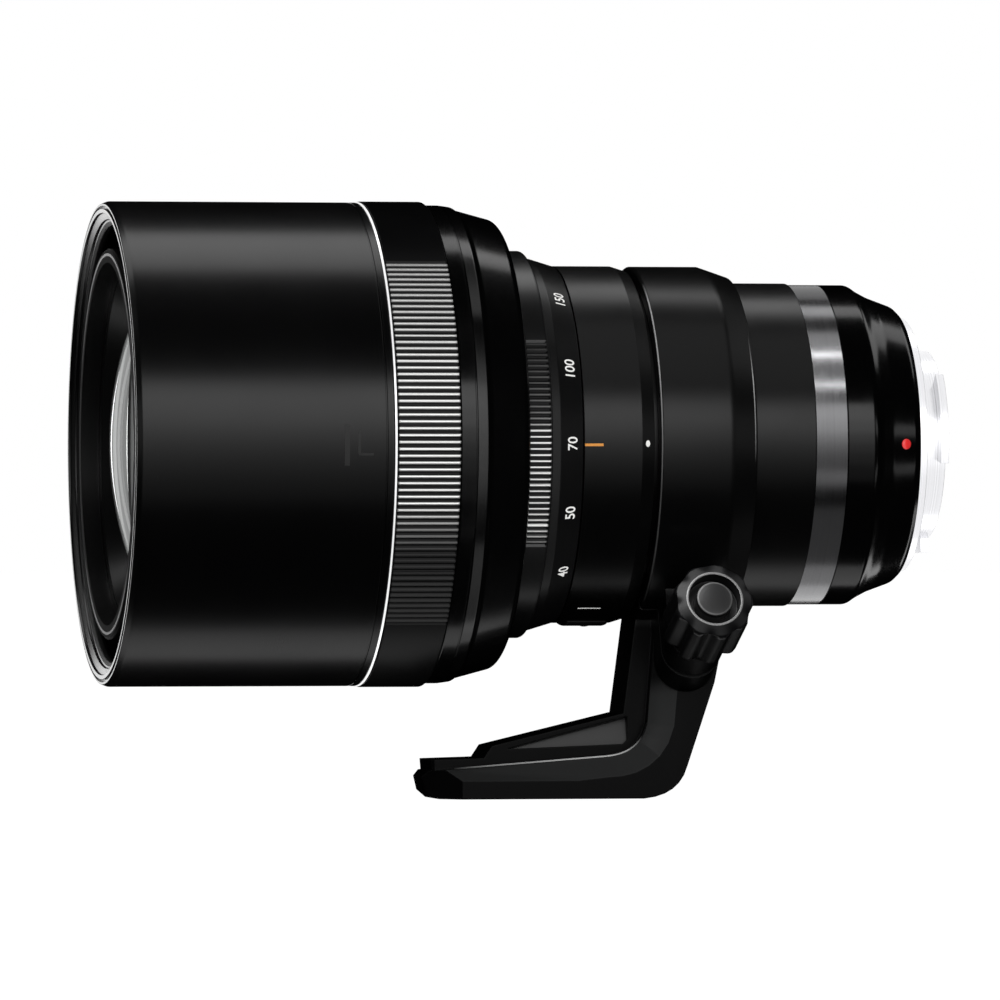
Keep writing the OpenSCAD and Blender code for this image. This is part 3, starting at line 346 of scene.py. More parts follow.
def dome(name, centre, normal, radius, height, sunk):
    """Low dome on a round footing: radius times sin(t) across and height times cos(t) along the normal,
    for t from the crown to the edge, then a straight wall sunk into what carries it."""
    centre, normal = np.array(centre), np.array(normal, float) / np.linalg.norm(normal)
    across = np.cross(normal, (0.0, 0.0, 1.0))
    across /= np.linalg.norm(across)
    t = np.linspace(0, np.pi / 2, dome_columns)[1:]
    reach = radius * np.append(np.sin(t), 1.0)
    rise = np.append(height * np.cos(t), -sunk)
    angle = circle(dome_rows)[:, None]
    round_way = np.cos(angle)[..., None] * across + np.sin(angle)[..., None] * np.cross(normal, across)
    grid = centre + reach[None, :, None] * round_way + rise[None, :, None] * normal
    return grid_mesh(name, grid, (centre + height * normal, centre - sunk * normal))


dot_station = 5.1
dot_r = np.interp(dot_station, *cover_slope.T)
fit(dome("alignment_dot", (-dot_station, -dot_r, 0.0), (0.34, -0.94, 0.0), radius=1.05, height=0.42, sunk=0.3),
    ink("red_enamel", (0.75, 0.03, 0.03), 0.18), "barrel", "gloss_black")


# Bright ring. A turned and polished ring between the barrel and the rear cover, trapped between
# their shoulders. The lathe's lines stretch its reflections round it.
trim_z0, trim_z1, trim_r = extent("trim_ring")
trim_in = trim_r - 0.9
fit(turned("bright_ring", rounded([(trim_z0, trim_r, 0.25), (trim_z1, trim_r, 0.25),
                                   (trim_z1, trim_in, 0.1), (trim_z0, trim_in, 0.1)])),
    turned_metal("polished_ring", (0.18, 0.18, 0.185), 0.20, 0.45, 0.0015, 0.1),
    "barrel", "bright_metal", "trim_ring")


# Fixed barrel. The anodised aluminium body with the collar's seat and the index ring, where the
# focal length is read against an orange line. The white dot marks the collar's upright place.
anodised = (0.0035, 0.0035, 0.0037)
satin = coated("satin_black", anodised, 0.30, 0.10, 0.0018, 0.25)
dress(satin, "main_barrel")
print_lift, print_depth = 0.03, 0.05


def layered(piece, thickness, offset):
    """Gives a flat piece a thickness in millimetres, all of it inward at offset -1 and half at offset 0."""
    layer = piece.modifiers.new("layer", "SOLIDIFY")
    layer.thickness, layer.offset = thickness * mm, offset


def printed(name, points, faces, station, angle, profile, finish, body):
    """Thin print on a turned surface. A flat point (u, v) goes round the axis by u and forward by v, at
    the radius that the profile has there, so letters read upwards with their tops to the front."""
    forward = station + points[:, 1]
    radius = np.interp(forward, *np.array(profile).T) + print_lift
    turn = np.radians(angle) + points[:, 0] / radius
    round_axis = np.stack([-forward, -radius * np.cos(turn), radius * np.sin(turn)], axis=-1)
    piece = mesh_piece(name, round_axis, faces)
    layered(piece, print_depth, -1.0)
    fit(piece, finish, body, "black_metal")
    return piece


def left_of(path):
    """Unit steps to the left of a path, one for each of its points."""
    ahead = np.gradient(path, axis=0)
    ahead /= np.linalg.norm(ahead, axis=1, keepdims=True)
    return np.stack([-ahead[:, 1], ahead[:, 0]], axis=-1)


def strip(count):
    """Faces between a row of so many points and the next row, which lies to its right."""
    left = np.arange(count - 1)
    return np.stack([left + count, left + count + 1, left + 1, left], axis=-1)


def stroke(path, width):
    """Points and faces of a flat stroke: the path's points, half the width to each side of it."""
    path = np.array(path, float)
    aside = left_of(path) * width / 2
    return np.concatenate([path + aside, path - aside]), strip(len(path)).tolist()


def dash(length, width):
    """Points and faces of a straight stroke along the axis."""
    return stroke([(0, -length / 2), (0, 0), (0, length / 2)], width)


def spot(across, along, sides=40):
    """Points and face of an oval, as wide round the axis and as long along it as given."""
    angle = circle(sides)
    return np.stack([across * np.cos(angle), along * np.sin(angle)], axis=-1) / 2, [list(range(sides))]


white_ink = ink("white_print", (0.82, 0.82, 0.80), 0.45)
orange_ink = ink("orange_print", (0.60, 0.22, 0.008), 0.40)
index_r = extent("main_barrel")[2]
slope_z0, slope_z1, slope_drop, index_z1 = 57.3, 59.9, 0.8, 71.5
index_profile = [(slope_z0, index_r - slope_drop), (slope_z1, index_r), (index_z1, index_r)]
for name, shape, station, angle, colour in (
        ("index_line", dash(length=3.7, width=0.52), index_z1 - 1.9, -0.4, orange_ink),
        ("upright_dot", spot(across=1.3, along=0.9), 58.75, 0.0, white_ink),
        ("button_dash", dash(length=4.6, width=0.36), 66.5, -66.0, white_ink)):
    printed(name, *shape, station, angle, index_profile, colour, "barrel")


# Function button. A moulded key in a pocket at the bottom of the index ring, on a small switch,
# with a bump in its middle that a finger finds in the dark.
def softened(name, node, width, segments=3, sharp=28):
    """Copy of a CAD node with its edges rounded: the triangles are merged, flat faces joined, and every
    edge sharper than that, in degrees, gets a round of that width."""
    mesh = frame["nodes"][node].data.copy()
    mesh.name = name
    shape = bmesh.new()
    shape.from_mesh(mesh)
    bmesh.ops.remove_doubles(shape, verts=shape.verts, dist=1e-6)
    bmesh.ops.dissolve_limit(shape, angle_limit=np.radians(0.4), verts=shape.verts, edges=shape.edges)
    shape.to_mesh(mesh)
    shape.free()
    mesh.materials.clear()
    mesh.shade_smooth()
    piece = in_scene(name, mesh)
    bevel = piece.modifiers.new("round", "BEVEL")
    bevel.width, bevel.segments, bevel.limit_method = width, segments, "ANGLE"
    bevel.angle_limit = np.radians(sharp)
    piece.modifiers.new("even_shading", "WEIGHTED_NORMAL").keep_sharp = True
    return piece


button_plastic = coated("button_plastic", (0.012, 0.012, 0.013), 0.35, 0.2, 0.003)
fit(softened("soft_button", "function_button", 0.5 * mm), button_plastic, "button", "button_black",
    "function_button")
button_low, button_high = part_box("function_button")
bump_place = ((button_low[0] + button_high[0]) / 2 / mm, -2.6, button_low[2] / mm + 0.12)
fit(dome("button_bump", bump_place, (0.0, -0.12, -1.0), radius=0.9, height=0.22, sunk=0.3),
    button_plastic, "button", "button_black")


# Tripod collar. One aluminium casting: the ring that turns on the barrel, the clamp lugs, the stalk, the web
# and the foot. The ring has a satin black anodising. The foot is duller, with a paler recess and a milled bevel
# painted paler as a highlight, which fades to painted shade up the stalk under the lens, and its edges are
# rubbed by use. The ring's chamfers and the foot's inner bevel edge carry thin painted highlights.
def ramp(value, low, high):
    """Smooth rise from 0 at a low value to 1 at a high one."""
    return value.node("MapRange", {"interpolation_type": "SMOOTHSTEP"},
                      {"Value": value, "From Min": low, "From Max": high})


def off_axis(place):
    """Distance from the optical axis."""
    y, z = part_of(place, "Y"), part_of(place, "Z")
    return y.math("SQRT", y * y + z * z)


bevel_lean, toe_lean, recess_lean = (0.885, 0.055), (0.599, 0.012), (0.978, 0.006)
# How far out from the ring's radius the bevel's painted highlight starts and is full; nearer the ring the bevel
# stays dark, a painted shade under the lens.
bevel_from, bevel_full, ring_edge = 11 * mm, 15.5 * mm, 1.5 * mm


def casting_finish(name, ring_tone, foot_tone, bevel_highlight_tone, recess_tone, ring_r):
    """Satin anodising on the ring, and a duller coat on the foot outside the ring's radius. There the milled
    bevel and the toe are told by how far their faces lean from the side (a share and its slack). They get a
    paler tone that is a painted highlight, faded out towards the ring as painted shade. The recess, told the
    same way, is paler, and edges are rubbed."""
    material, place = new_finish(name)
    radius = off_axis(place)
    cloud, speck = noise(place, 70.0, 4.0), noise(place, 6000.0)
    soft = place.node("Bevel", {"samples": 6}, {"Radius": 0.4 * mm})
    true = place.node("NewGeometry", out="True Normal")
    level = place.node("VectorMath", {"operation": "DOT_PRODUCT"}, {0: soft, 1: true}, out="Value")
    rub = ramp(1 - level, 0.03, 0.25)
    side = place.math("ABSOLUTE", part_of(true, "Y"))
    bevel, toe, recess = [place.math("LESS_THAN", place.math("ABSOLUTE", side - share), slack)
                          for share, slack in (bevel_lean, toe_lean, recess_lean)]
    grain = 0.5 * cloud + 0.5 * speck
    plain = mottled(grain, foot_tone)
    # Painted shade: up the stalk, close under the lens, the bevel's painted highlight is left out.
    out_of_painted_shade = ramp(radius, ring_r + bevel_from, ring_r + bevel_full)
    painted_bevel_light = between(out_of_painted_shade * (bevel + toe), plain, shade(bevel_highlight_tone))
    hollow = between(recess, painted_bevel_light, shade(recess_tone))
    foot = place.node("BsdfPrincipled", {}, {
        "Base Color": between(0.5 * rub * cloud, hollow, shade(bevel_highlight_tone, 2.0)),
        "Roughness": 0.36 + 0.1 * (cloud - 0.5),
        "Specular IOR Level": 0.14,
        "Normal": relief(speck, 0.003, Normal=soft),
    })
    ring = place.node("BsdfPrincipled", {}, {
        "Base Color": mottled(grain, ring_tone),
        "Roughness": 0.30 + 0.08 * (cloud - 0.5) + 0.06 * (speck - 0.5),
        "Normal": relief(speck, 0.0018, Normal=soft),
    })
    off_ring = ramp(radius, ring_r, ring_r + ring_edge)
    both = place.node("MixShader", {}, {0: off_ring, 1: ring, 2: foot})
    place.node("OutputMaterial", {}, {"Surface": both})
    return material


casting = casting_finish("anodised_casting", ring_tone=anodised, foot_tone=(0.003, 0.003, 0.0032),
                         bevel_highlight_tone=(0.045, 0.046, 0.046), recess_tone=0.13, ring_r=36.0 * mm)
fit(softened("collar_casting", "tripod_collar", 0.55 * mm), casting, "collar", "black_metal", "tripod_collar")


def mark(piece, name, values):
    """Stores a number for each point, such as how much bare metal and painted highlight it shows, as an
    attribute for the finish.
    """
    every = np.zeros(len(piece.data.vertices), np.float32)
    every[:values.size] = values.ravel()
    piece.data.attributes.new(name, "FLOAT", "POINT").data.foreach_set("value", every)


# A grey drawn over the anodising as far as the attribute says: the painted highlights on the collar's chamfers,
# the foot's bevel edge and the filter ring's edge. On the collar ring's front and rear chamfers it is strongest
# on the upper side facing the viewer, and absent round the bottom.
edge_glint_ink = ink("painted_edge_glint", 0.42, 0.30, under=anodised)
glint_steps, glint_width = 120, 0.2
for edge, station, corner, highlight_share in (
        ("front", 55.85, [(55.6, 35.65), (56.1, 35.15)],
         ((-62, 0.0), (-40, 0.08), (-14, 0.12), (2, 0.35), (25, 0.8), (52, 0.9), (64, 0.0))),
        ("rear", 36.75, [(36.3, 33.65), (39.2, 34.65)],
         ((-6, 0.0), (4, 0.35), (22, 0.75), (32, 0.2), (40, 0.0)))):
    degrees, share = np.array(highlight_share, float).T
    way = np.linspace(degrees[0], degrees[-1], glint_steps)
    path = np.stack([np.radians(way) * np.interp(station, *np.array(corner).T), np.zeros(glint_steps)], axis=-1)
    band = printed("collar_edge_" + edge, *stroke(path, glint_width), station, 0.0, corner, edge_glint_ink, "collar")
    mark(band, "bare_and_highlight", np.tile(np.interp(way, degrees, share), 2))


def edge_band(name, path, depth, run, width, share, highlight_share):
    """Thin band on both sides of the foot, along the upper edge of its bevel: a painted highlight, as strong as
    the highlight share says along it. The path (station, drop) is the edge; across, the bevel runs by that much
    into the foot while it comes out by the depth."""
    across = np.linspace(0, width / np.hypot(run, depth), 2)[:, None, None]
    flat = path + across * run * left_of(path)
    out = foot_half - depth + across[..., 0] * depth + print_lift + np.zeros(flat.shape[:2])
    points = np.stack([-flat[..., 0], -out, -flat[..., 1]], axis=-1).reshape(-1, 3)
    bare_and_highlight = np.interp(np.linspace(0, 1, len(path)), share, highlight_share)
    for side, end in ((1, "near"), (-1, "far")):
        faces = strip(len(path))[:, ::-side]
        piece = mesh_piece("%s_%s" % (name, end), points * (1, side, 1), faces.tolist())
        layered(piece, 0.06, 0.0)
        mark(piece, "bare_and_highlight", np.tile(bare_and_highlight, 2))
        fit(piece, edge_glint_ink, "collar", "black_metal")


def arc(first, knee, last, count):
    """Quadratic bend from one point to another, drawn towards a knee between them."""
    t = np.linspace(0, 1, count)[:, None]
    return (1 - t) ** 2 * first + 2 * t * (1 - t) * np.array(knee) + t ** 2 * last


foot_drop, foot_half, foot_z, toe_z = -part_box("tripod_collar")[0][2] / mm, 12.0, 34.8, 97.4
inner_bend = arc((foot_z + 27.4, foot_drop - 8.3), (foot_z + 20.2, foot_drop - 8.8),
                 (foot_z + 18.9, foot_drop - 15), 13)
inner_run = np.linspace((toe_z, foot_drop - 5.6), inner_bend[0], 24)[3:-1]
# The inner edge of the foot's bevel: a painted glint that fades out at both ends.
edge_band("foot_edge", np.concatenate([inner_run, inner_bend]), depth=2.4, run=4.6, width=0.32,
          share=(0, 0.15, 0.6, 0.75, 0.9), highlight_share=(0, 0.5, 1, 0.9, 0))
dress(coated("liner_plastic", 0.03, 0.5, 0.2, 0.003), "collar_liner")
dress(steel, "tripod_bush")


# Clamp knob. A moulded knob with nine lobes on the collar's screw: a wide bevel leads to its face,
# with a round well in which a domed cap sits. A steel washer takes the wear against the lug.
knob_low, knob_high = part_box("clamp_knob")
knob_axis = np.array((0.0, -0.917755, 0.397148))
knob_middle = np.array((knob_low + knob_high) / 2) / mm
knob_len, knob_r, knob_bore, knob_well_r, knob_well, knob_groove = 16.0, 8.0, 2.55, 5.2, 1.4, 3.4
knob_lobes, lobe_steps, flute_depth, flute_half = 9, 36, 1.25, 0.42
rim_r = knob_well_r + 0.4


def lobed(name, outline, fade):
    """Knob about its own axis: each outline point (height, radius) goes round once, less a raised cosine
    between the lobes, faded out towards the face and the back by the given weights."""
    angle = circle(knob_lobes * lobe_steps)[:, None]
    offset = (angle * knob_lobes / (2 * np.pi)) % 1.0 - 0.5
    flute = np.where(abs(offset) < flute_half, 0.5 + 0.5 * np.cos(np.pi * offset / flute_half), 0.0)
    radius = outline[:, 1] - flute_depth * flute * fade
    side = np.array((1.0, 0.0, 0.0))
    up = np.cross(knob_axis, side)
    grid = (knob_middle + (outline[:, 0] - knob_len / 2)[None, :, None] * knob_axis
            + (radius * np.cos(angle))[..., None] * side + (radius * np.sin(angle))[..., None] * up)
    return grid_mesh(name, grid)


knob_outline = rounded([(0.0, knob_bore, 0.1), (0.0, knob_r - 1.5, 0.6), (1.5, knob_r, 0.8),
                        (knob_len - 5.0, knob_r, 0.3), (knob_len - 1.7, knob_r, 0.3),
                        (knob_len - 1.0, knob_r - 0.3, 0.3), (knob_len, rim_r, 0.12),
                        (knob_len, knob_well_r, 0.12), (knob_len - knob_groove, knob_well_r, 0.2),
                        (knob_len - knob_groove, knob_bore, 0.1)])
knob_height, knob_reach = knob_outline.T
knob_fade = np.clip((knob_len - 0.8 - knob_height) / 0.8, 0, 1) * np.clip((knob_reach - rim_r) / 0.9, 0, 1)
knob_piece = lobed("lobed_knob", knob_outline, knob_fade)
on_rim = (knob_height > knob_len - 0.1) & (knob_reach < rim_r + 0.1)
mark(knob_piece, "bare_and_highlight", np.tile(on_rim, knob_lobes * lobe_steps))
fit(knob_piece, coated("knob_moulding", (0.006, 0.006, 0.0065), 0.30, 0.18, 0.003, 0.15, bare_and_highlight=0.30),
    "knob", "knob_black", "clamp_knob")
cap_seat, cap_rise, cap_ring = knob_middle + (knob_len / 2 - knob_well) * knob_axis, 1.35, (8, 9, 10)
cap_piece = dome("domed_cap", cap_seat + cap_rise * knob_axis, knob_axis, radius=3.6, height=0.4,
                 sunk=knob_groove - knob_well + 1.25)
mark(cap_piece, "bare_and_highlight", np.tile(np.isin(np.arange(dome_columns), cap_ring), dome_rows))
fit(cap_piece, coated("cap_paint", (0.014, 0.014, 0.0145), 0.34, 0.18, 0.003, 0.15, bare_and_highlight=0.16),
    "knob", "knob_black", "knob_cap")
dress(steel, "clamp_washer", "clamp_screw")


# Zoom ring. An anodised aluminium ring with the focal lengths printed on its cone, a lip with cut ribs whose
# tops are bare bright metal, brightest in a painted highlight a little below the middle of each zone, and a
# ribbed grip that comes free when the hood is forward.
def from_centres(angles, centres):
    """Degrees from each centre to each angle, which is in radians, between -180 and 180."""
    return (np.degrees(angles)[:, None] - np.array(centres) + 180) % 360 - 180


def ribs(angles, centres, half, pitch):
    """Depth of cut round a ring, from 0 on a rib's top to 1 in a groove: a clipped cosine of one pitch,
    inside the zones of that half width, in degrees."""
    off = from_centres(angles, centres)
    wave = np.clip(0.75 + 1.5 * np.cos(2 * np.pi * (off + half) / pitch), 0, 1)
    return np.where(abs(off) <= half + pitch / 4, wave, 0.0).max(axis=1)


def rib_tops(cut, place, highlight_share):
    """How bright the ribs are: full on their tops and nothing from a fifth of the depth down, times a painted
    highlight share at each place, given as rows (degrees, share)."""
    degrees, share = np.array(highlight_share, float).T
    return np.clip(1 - cut / 0.2, 0, 1) * np.interp(place, degrees, share)


def spread(zones, fine, coarse):
    """Angles in radians all the way round, in fine steps inside the zones (centre, half width) and in
    coarse steps elsewhere, all in degrees."""
    steps = [np.arange(0, 360, coarse)]
    steps += [np.arange(centre - half - 1, centre + half + 1, fine) % 360 for centre, half in zones]
    near = np.sort(np.concatenate(steps))
    return np.radians(near[np.append(True, np.diff(near) > fine * 0.4)])


zoom_z0, zoom_z1, lip_r = extent("zoom_ring")
lip_z0, lip_z1, lip_edge = zoom_z0 + 6.7, zoom_z0 + 11.4, 0.62
cone_r, grip_r, zoom_bore = index_r + 1.7, lip_r - 1.7, 33.8
cone_profile = [(zoom_z0, index_r), (lip_z0 - 1.9, cone_r - 0.25), (lip_z0, cone_r)]
lip_pitch, lip_half, lip_centres = 1.78, 31.0, (-90.0, 30.0, 150.0)
grip_ribs, rib_depth = 72, 0.5
zoom_outline = rounded([
    (zoom_z0, zoom_bore, 0.1), (*cone_profile[0], 0.2), (*cone_profile[1], 0.15), (*cone_profile[2], 0.1),
    (lip_z0, lip_r, 0.45), (lip_z0 + lip_edge, lip_r, 0.03), (lip_z1 - lip_edge, lip_r, 0.03),
    (lip_z1, lip_r, 0.45), (lip_z1, grip_r, 0.1), (lip_z1 + 1.1, grip_r, 0.1), (lip_z1 + 1.4, grip_r, 0.1),
    (zoom_z1 - 1.4, grip_r, 0.1), (zoom_z1 - 1.1, grip_r, 0.1), (zoom_z1, grip_r, 0.3),
    (zoom_z1, zoom_bore, 0.1)], steps=2)
zoom_station, zoom_radius = zoom_outline.T
zoom_angles = spread([(centre, lip_half) for centre in lip_centres], lip_pitch / 8, 0.5)
on_lip = (zoom_radius > lip_r - 0.2) & (zoom_station > lip_z0 + 0.3)
on_grip = (abs(zoom_radius - grip_r) < 0.02) & (zoom_station > lip_z1 + 1.25) & (zoom_station < zoom_z1 - 1.25)
lip_cut = ribs(zoom_angles, lip_centres, lip_half, lip_pitch)
lip_off = from_centres(zoom_angles, lip_centres)
lip_place = lip_off[np.arange(len(zoom_angles)), abs(lip_off).argmin(axis=1)]
# Painted highlight on the lip's rib tops, by degrees from each zone's centre: full from a little below the
# middle to just above it, dim higher up.
lip_highlight = ((-31.5, 0.0), (-31, 0.1), (-26, 0.9), (2, 1.0), (7, 0.22), (20, 0.10), (30.5, 0.04), (31, 0.0))
grip_cut = np.clip(0.2 + 1.3 * np.cos(grip_ribs * zoom_angles), 0, 1)
zoom_piece = turned("zoom_sleeve", zoom_outline, zoom_angles,
                    rib_depth * (lip_cut[:, None] * on_lip + grip_cut[:, None] * on_grip))
mark(zoom_piece, "bare_and_highlight", rib_tops(lip_cut, lip_place, lip_highlight)[:, None] * on_lip)
mark(zoom_piece, "smooth", np.where(on_lip, 0.8 * (abs(lip_place) > lip_half)[:, None], 0.25 * ~on_grip))
ribbed = coated("ribbed_black", anodised, 0.30, 0.10, 0.0018, gloss_level=0.14, bare_and_highlight=(0.90, 0.90, 0.89))
fit(zoom_piece, ribbed, "zoom", "black_metal", "zoom_ring")


def number(text, height):
    """Points and faces of a number, from the built-in typeface, centred, with digits of that height."""
    curve = bpy.data.curves.new(text, "FONT")
    curve.body, curve.align_x, curve.resolution_u, curve.offset = text, "CENTER", 6, 0.012
    source = in_scene(text, curve)
    bpy.context.view_layer.update()
    flat = bpy.data.meshes.new_from_object(source.evaluated_get(bpy.context.evaluated_depsgraph_get()))
    points = np.zeros(3 * len(flat.vertices), np.float32)
    flat.vertices.foreach_get("co", points)
    points = points.reshape(-1, 3)[:, :2].astype(float)
    faces = [list(face.vertices) for face in flat.polygons]
    for block, item in ((bpy.data.objects, source), (bpy.data.curves, curve), (bpy.data.meshes, flat)):
        block.remove(item)
    low, high = points.min(axis=0), points.max(axis=0)
    return (points - (low + high) / 2) * height / (high[1] - low[1]), faces


focal_angles = {"40": -44.0, "50": -22.0, "70": 0.0, "100": 24.2, "150": 52.0}
digit_height, digit_station = 2.05, zoom_z0 + 2.35
for focal, angle in focal_angles.items():
    printed("focal_" + focal, *number(focal, digit_height), digit_station, angle, cone_profile, white_ink,
            "zoom")


# Focus ring and clutch. A ribbed ring with a rubbery coat turns on a sleeve that slides back to
# switch to manual focus. Both lie under the hood while it is drawn back.
dress(coated("grip_rubber", 0.010, 0.55, 0.15, 0.006, 0.15), "focus_ring")
dress(satin, "focus_clutch")


# Front. The barrel that the hood slides on, the ring with the filter thread, whose edge carries a painted
# highlight above and below, and the matt trim ring that holds the front glass in its cell.
dress(satin, "front_barrel")
dress(coated("thread_black", (0.010, 0.010, 0.0105), 0.34, 0.12, 0.002, 0.12), "filter_ring", "name_ring")
thread_face, thread_r, thread_half = extent("filter_ring")[1], 37.6, 0.25
thread_outline = rounded([
    (thread_face - 0.1, thread_r - thread_half, 0.02), (thread_face - 0.1, thread_r + thread_half, 0.02),
    (thread_face + 0.06, thread_r + thread_half, 0.03), (thread_face + 0.06, thread_r - thread_half, 0.03)],
    steps=2)
thread_edge = turned("filter_edge", thread_outline)
# Painted highlight on the thread's edge: brightest at the top, weaker at the bottom, none at the sides.
edge_height = np.cos(all_round)[:, None] * thread_outline[:, 1] / thread_r
mark(thread_edge, "bare_and_highlight", np.interp(edge_height, (-1, -0.9, -0.6, 0.4, 0.8, 1), (0.7, 0.6, 0.05, 0.05, 0.5, 1)))
fit(thread_edge, edge_glint_ink, "barrel", "black_metal")
dress(flocked, "front_cell")


# Glass. Ground and polished lenses with a pale coating and a blackened rim, cemented or clamped
# in their cells. The front one bulges almost to the face of the filter ring.
def coated_glass(name, rim):
    """Clear coated glass, black outside the rim's radius, with a breath of dust in its gloss."""
    material, place = new_finish(name)
    edge = place.math("GREATER_THAN", off_axis(place), rim)
    dust = noise(place, 400.0)
    return complete(material, {
        "Base Color": between(edge, shade((0.93, 0.95, 0.94)), shade(0.004)),
        "Roughness": 0.02 * dust + 0.3 * edge,
        "Transmission Weight": 1.0,
        "IOR": 1.52,
    })


lens_bevel, dark_rim = 0.25, 0.3


def polished_lens(name, node, rear_curve, front_curve, rear, front):
    """Lens with two spherical faces: the height of a face above its edge is sqrt(R^2 - x^2) -
    sqrt(R^2 - r^2), outward for a positive curve and inward for a negative one, with a short bevel at
    each rim. Rear and front are the stations of the two edges."""
    radius = extent(node)[2]
    x = np.linspace(0, radius - lens_bevel, 40)
    behind, ahead = [np.sign(curve) * (np.sqrt(curve ** 2 - x ** 2) - np.sqrt(curve ** 2 - radius ** 2))
                     for curve in (rear_curve, front_curve)]
    faces = [np.stack([station, x], axis=-1) for station in (rear - behind, front + ahead)]
    outline = np.concatenate([faces[0][1:], [[rear + lens_bevel, radius], [front - lens_bevel, radius]],
                              faces[1][:0:-1]])
    piece = turned(name, outline, circle(180), poles=[(-face[0, 0], 0, 0) for face in faces])
    fit(piece, coated_glass("glass_" + name, (radius - dark_rim) * mm), "barrel", "glass", node)


def sag(curve, radius):
    """Height of a spherical face above its edge."""
    return curve - np.sqrt(curve ** 2 - radius ** 2)


front_curve, rear_curve = 70.0, 34.0
front_edge = extent("front_element")[1] - sag(front_curve, extent("front_element")[2])
polished_lens("front_glass", "front_element", -160.0, front_curve, front_edge - 6.0, front_edge)
polished_lens("second_glass", "front_doublet", -90.0, -120.0, *extent("front_doublet")[:2])
rear_z0, rear_z1, rear_r = extent("rear_lens")
polished_lens("rear_glass", "rear_lens", -60.0, rear_curve, rear_z0, rear_z1 - sag(rear_curve, rear_r))
for lens, radius in (("variator_lens", 14.0), ("compensator_lens", 16.0), ("focus_lens", 12.5)):
    dress(coated_glass("glass_" + lens, (radius - dark_rim) * mm), lens)


# Hood tube. A long anodised aluminium tube that slides back over the barrel, with a rolled lip in
# front and a flocked inside. A small grey mark by the lock ring shows which way to turn it.
hood_z0, hood_z1, hood_r = extent("hood_tube")
hood_in, lip_in, sleeve_r, sleeve_in = hood_r - 1.6, 43.4, hood_r - 2.0, hood_r - 3.4
hood_step, flock_r = 111.6, hood_r - 4.0


def lined_tube(name, tone, roughness, line, depth, inside):
    """Anodised tube with the lathe's faint lines outside, and dull flock where the radius is below inside."""
    material, place = new_finish(name)
    flock = place.math("LESS_THAN", off_axis(place), inside * mm)
    lines, cloud = lathe_lines(place, line), noise(place, 60.0, 4.0)
    plain = mottled(0.5 * lines + 0.5 * cloud, tone)
    return complete(material, {
        "Base Color": between(flock, plain, shade(0.002)),
        "Roughness": (roughness + 0.06 * (cloud - 0.5) + 0.05 * (lines - 0.5)) * (1 - flock) + 0.6 * flock,
        "Normal": relief(lines, depth),
    })


def groove(station, radius):
    """Outline points of a fine groove round a piece, 0.25 mm deep."""
    return [(station, radius, 0.05), (station + 0.05, radius - 0.25, 0.03),
            (station + 0.3, radius - 0.25, 0.03), (station + 0.35, radius, 0.05)]


hood_lip = ((1.35, 0.0, 0.3), (0.15, 0.5, 0.2), (0.15, 0.9, 0.06), (0.9, 0.95, 0.06), (0.9, 1.45, 0.06),
            (0.0, 1.5, 0.1), (0.05, 2.3, 0.1), (0.5, 2.4, 0.1), (1.2, 3.6, 0.1), (1.6, 3.7, 0.1))
hood_outline = rounded(
    [(hood_z0, sleeve_in, 0.1), (hood_z0, sleeve_r, 0.1), (hood_step, sleeve_r, 0.1), (hood_step, hood_r, 0.15)]
    + groove(hood_step + 1.3, hood_r)
    + [(hood_z1 - back, hood_r - deep, fillet) for back, deep, fillet in hood_lip]
    + [(hood_z1 - 2.2, lip_in, 0.2), (hood_z1 - 3.2, lip_in, 0.3), (hood_z1 - 6.0, hood_in, 0.4),
       (hood_step + 3.2, hood_in, 0.3), (hood_step + 1.6, sleeve_in, 0.3)])
fit(turned("hood_shell", hood_outline),
    lined_tube("hood_anodised", (0.0025, 0.0025, 0.0027), 0.25, 0.3, 0.0006, flock_r),
    "hood", "black_metal", "hood_tube")
grey_ink = ink("grey_print", 0.045, 0.45)
hood_profile = [(hood_step, hood_r), (hood_z1, hood_r)]
mark_steps, hook_bend = 17, 6
lock_bar = np.stack([np.linspace(-4.0, 4.0, mark_steps), np.zeros(mark_steps)], axis=-1)
printed("lock_bar", *stroke(lock_bar, 1.0), 121.0, -0.5, hood_profile, grey_ink, "hood")
along = np.linspace(0, 1, mark_steps)[:, None]
first, last = (1 - along) ** hook_bend, along ** hook_bend
lock_hook = first * (2.4, 0.0) + (1 - first - last) * (-2.2, 0.0) + last * (-2.2, -2.8)
printed("lock_hook", *stroke(lock_hook, 0.5), 118.6, 0.0, hood_profile, grey_ink, "hood")


# Hood trim and lock ring. A thin bright ring closes the tube; behind it turns the lock ring, with straight ribs
# cut where thumb and finger hold it, their tops left bright metal under a painted highlight that is full round
# the middle and fades out towards the bottom.
trim_h0, trim_h1, trim_hr = extent("hood_trim")
fit(turned("hood_bright_ring", rounded([(trim_h0, sleeve_r + 0.05, 0.05), (trim_h0, trim_hr, 0.2),
                                        (trim_h1, trim_hr, 0.2), (trim_h1, sleeve_r + 0.05, 0.05)])),
    turned_metal("trim_line", 0.90, 0.30, 0.2, 0.001, 0.05), "hood", "bright_metal", "hood_trim")
lock_z0, lock_z1, lock_r = extent("hood_lock_ring")
lock_bore, lock_rib_depth = sleeve_r + 0.2, 0.45
lock_pitch, lock_half, lock_centres = 1.6, 47.0, (-90.0, 90.0)
lock_outline = rounded([(lock_z0, lock_bore, 0.1), (lock_z0, lock_r, 0.3), (lock_z1, lock_r, 0.3),
                        (lock_z1, lock_bore, 0.1)], steps=4)
lock_angles = spread([(centre, lock_half) for centre in lock_centres], lock_pitch / 8, 1.5)
on_lock = lock_outline[:, 1] > lock_r - 0.2
lock_cut = ribs(lock_angles, lock_centres, lock_half, lock_pitch)
lock_height = 90 - abs((np.degrees(lock_angles) + 180) % 360 - 180)
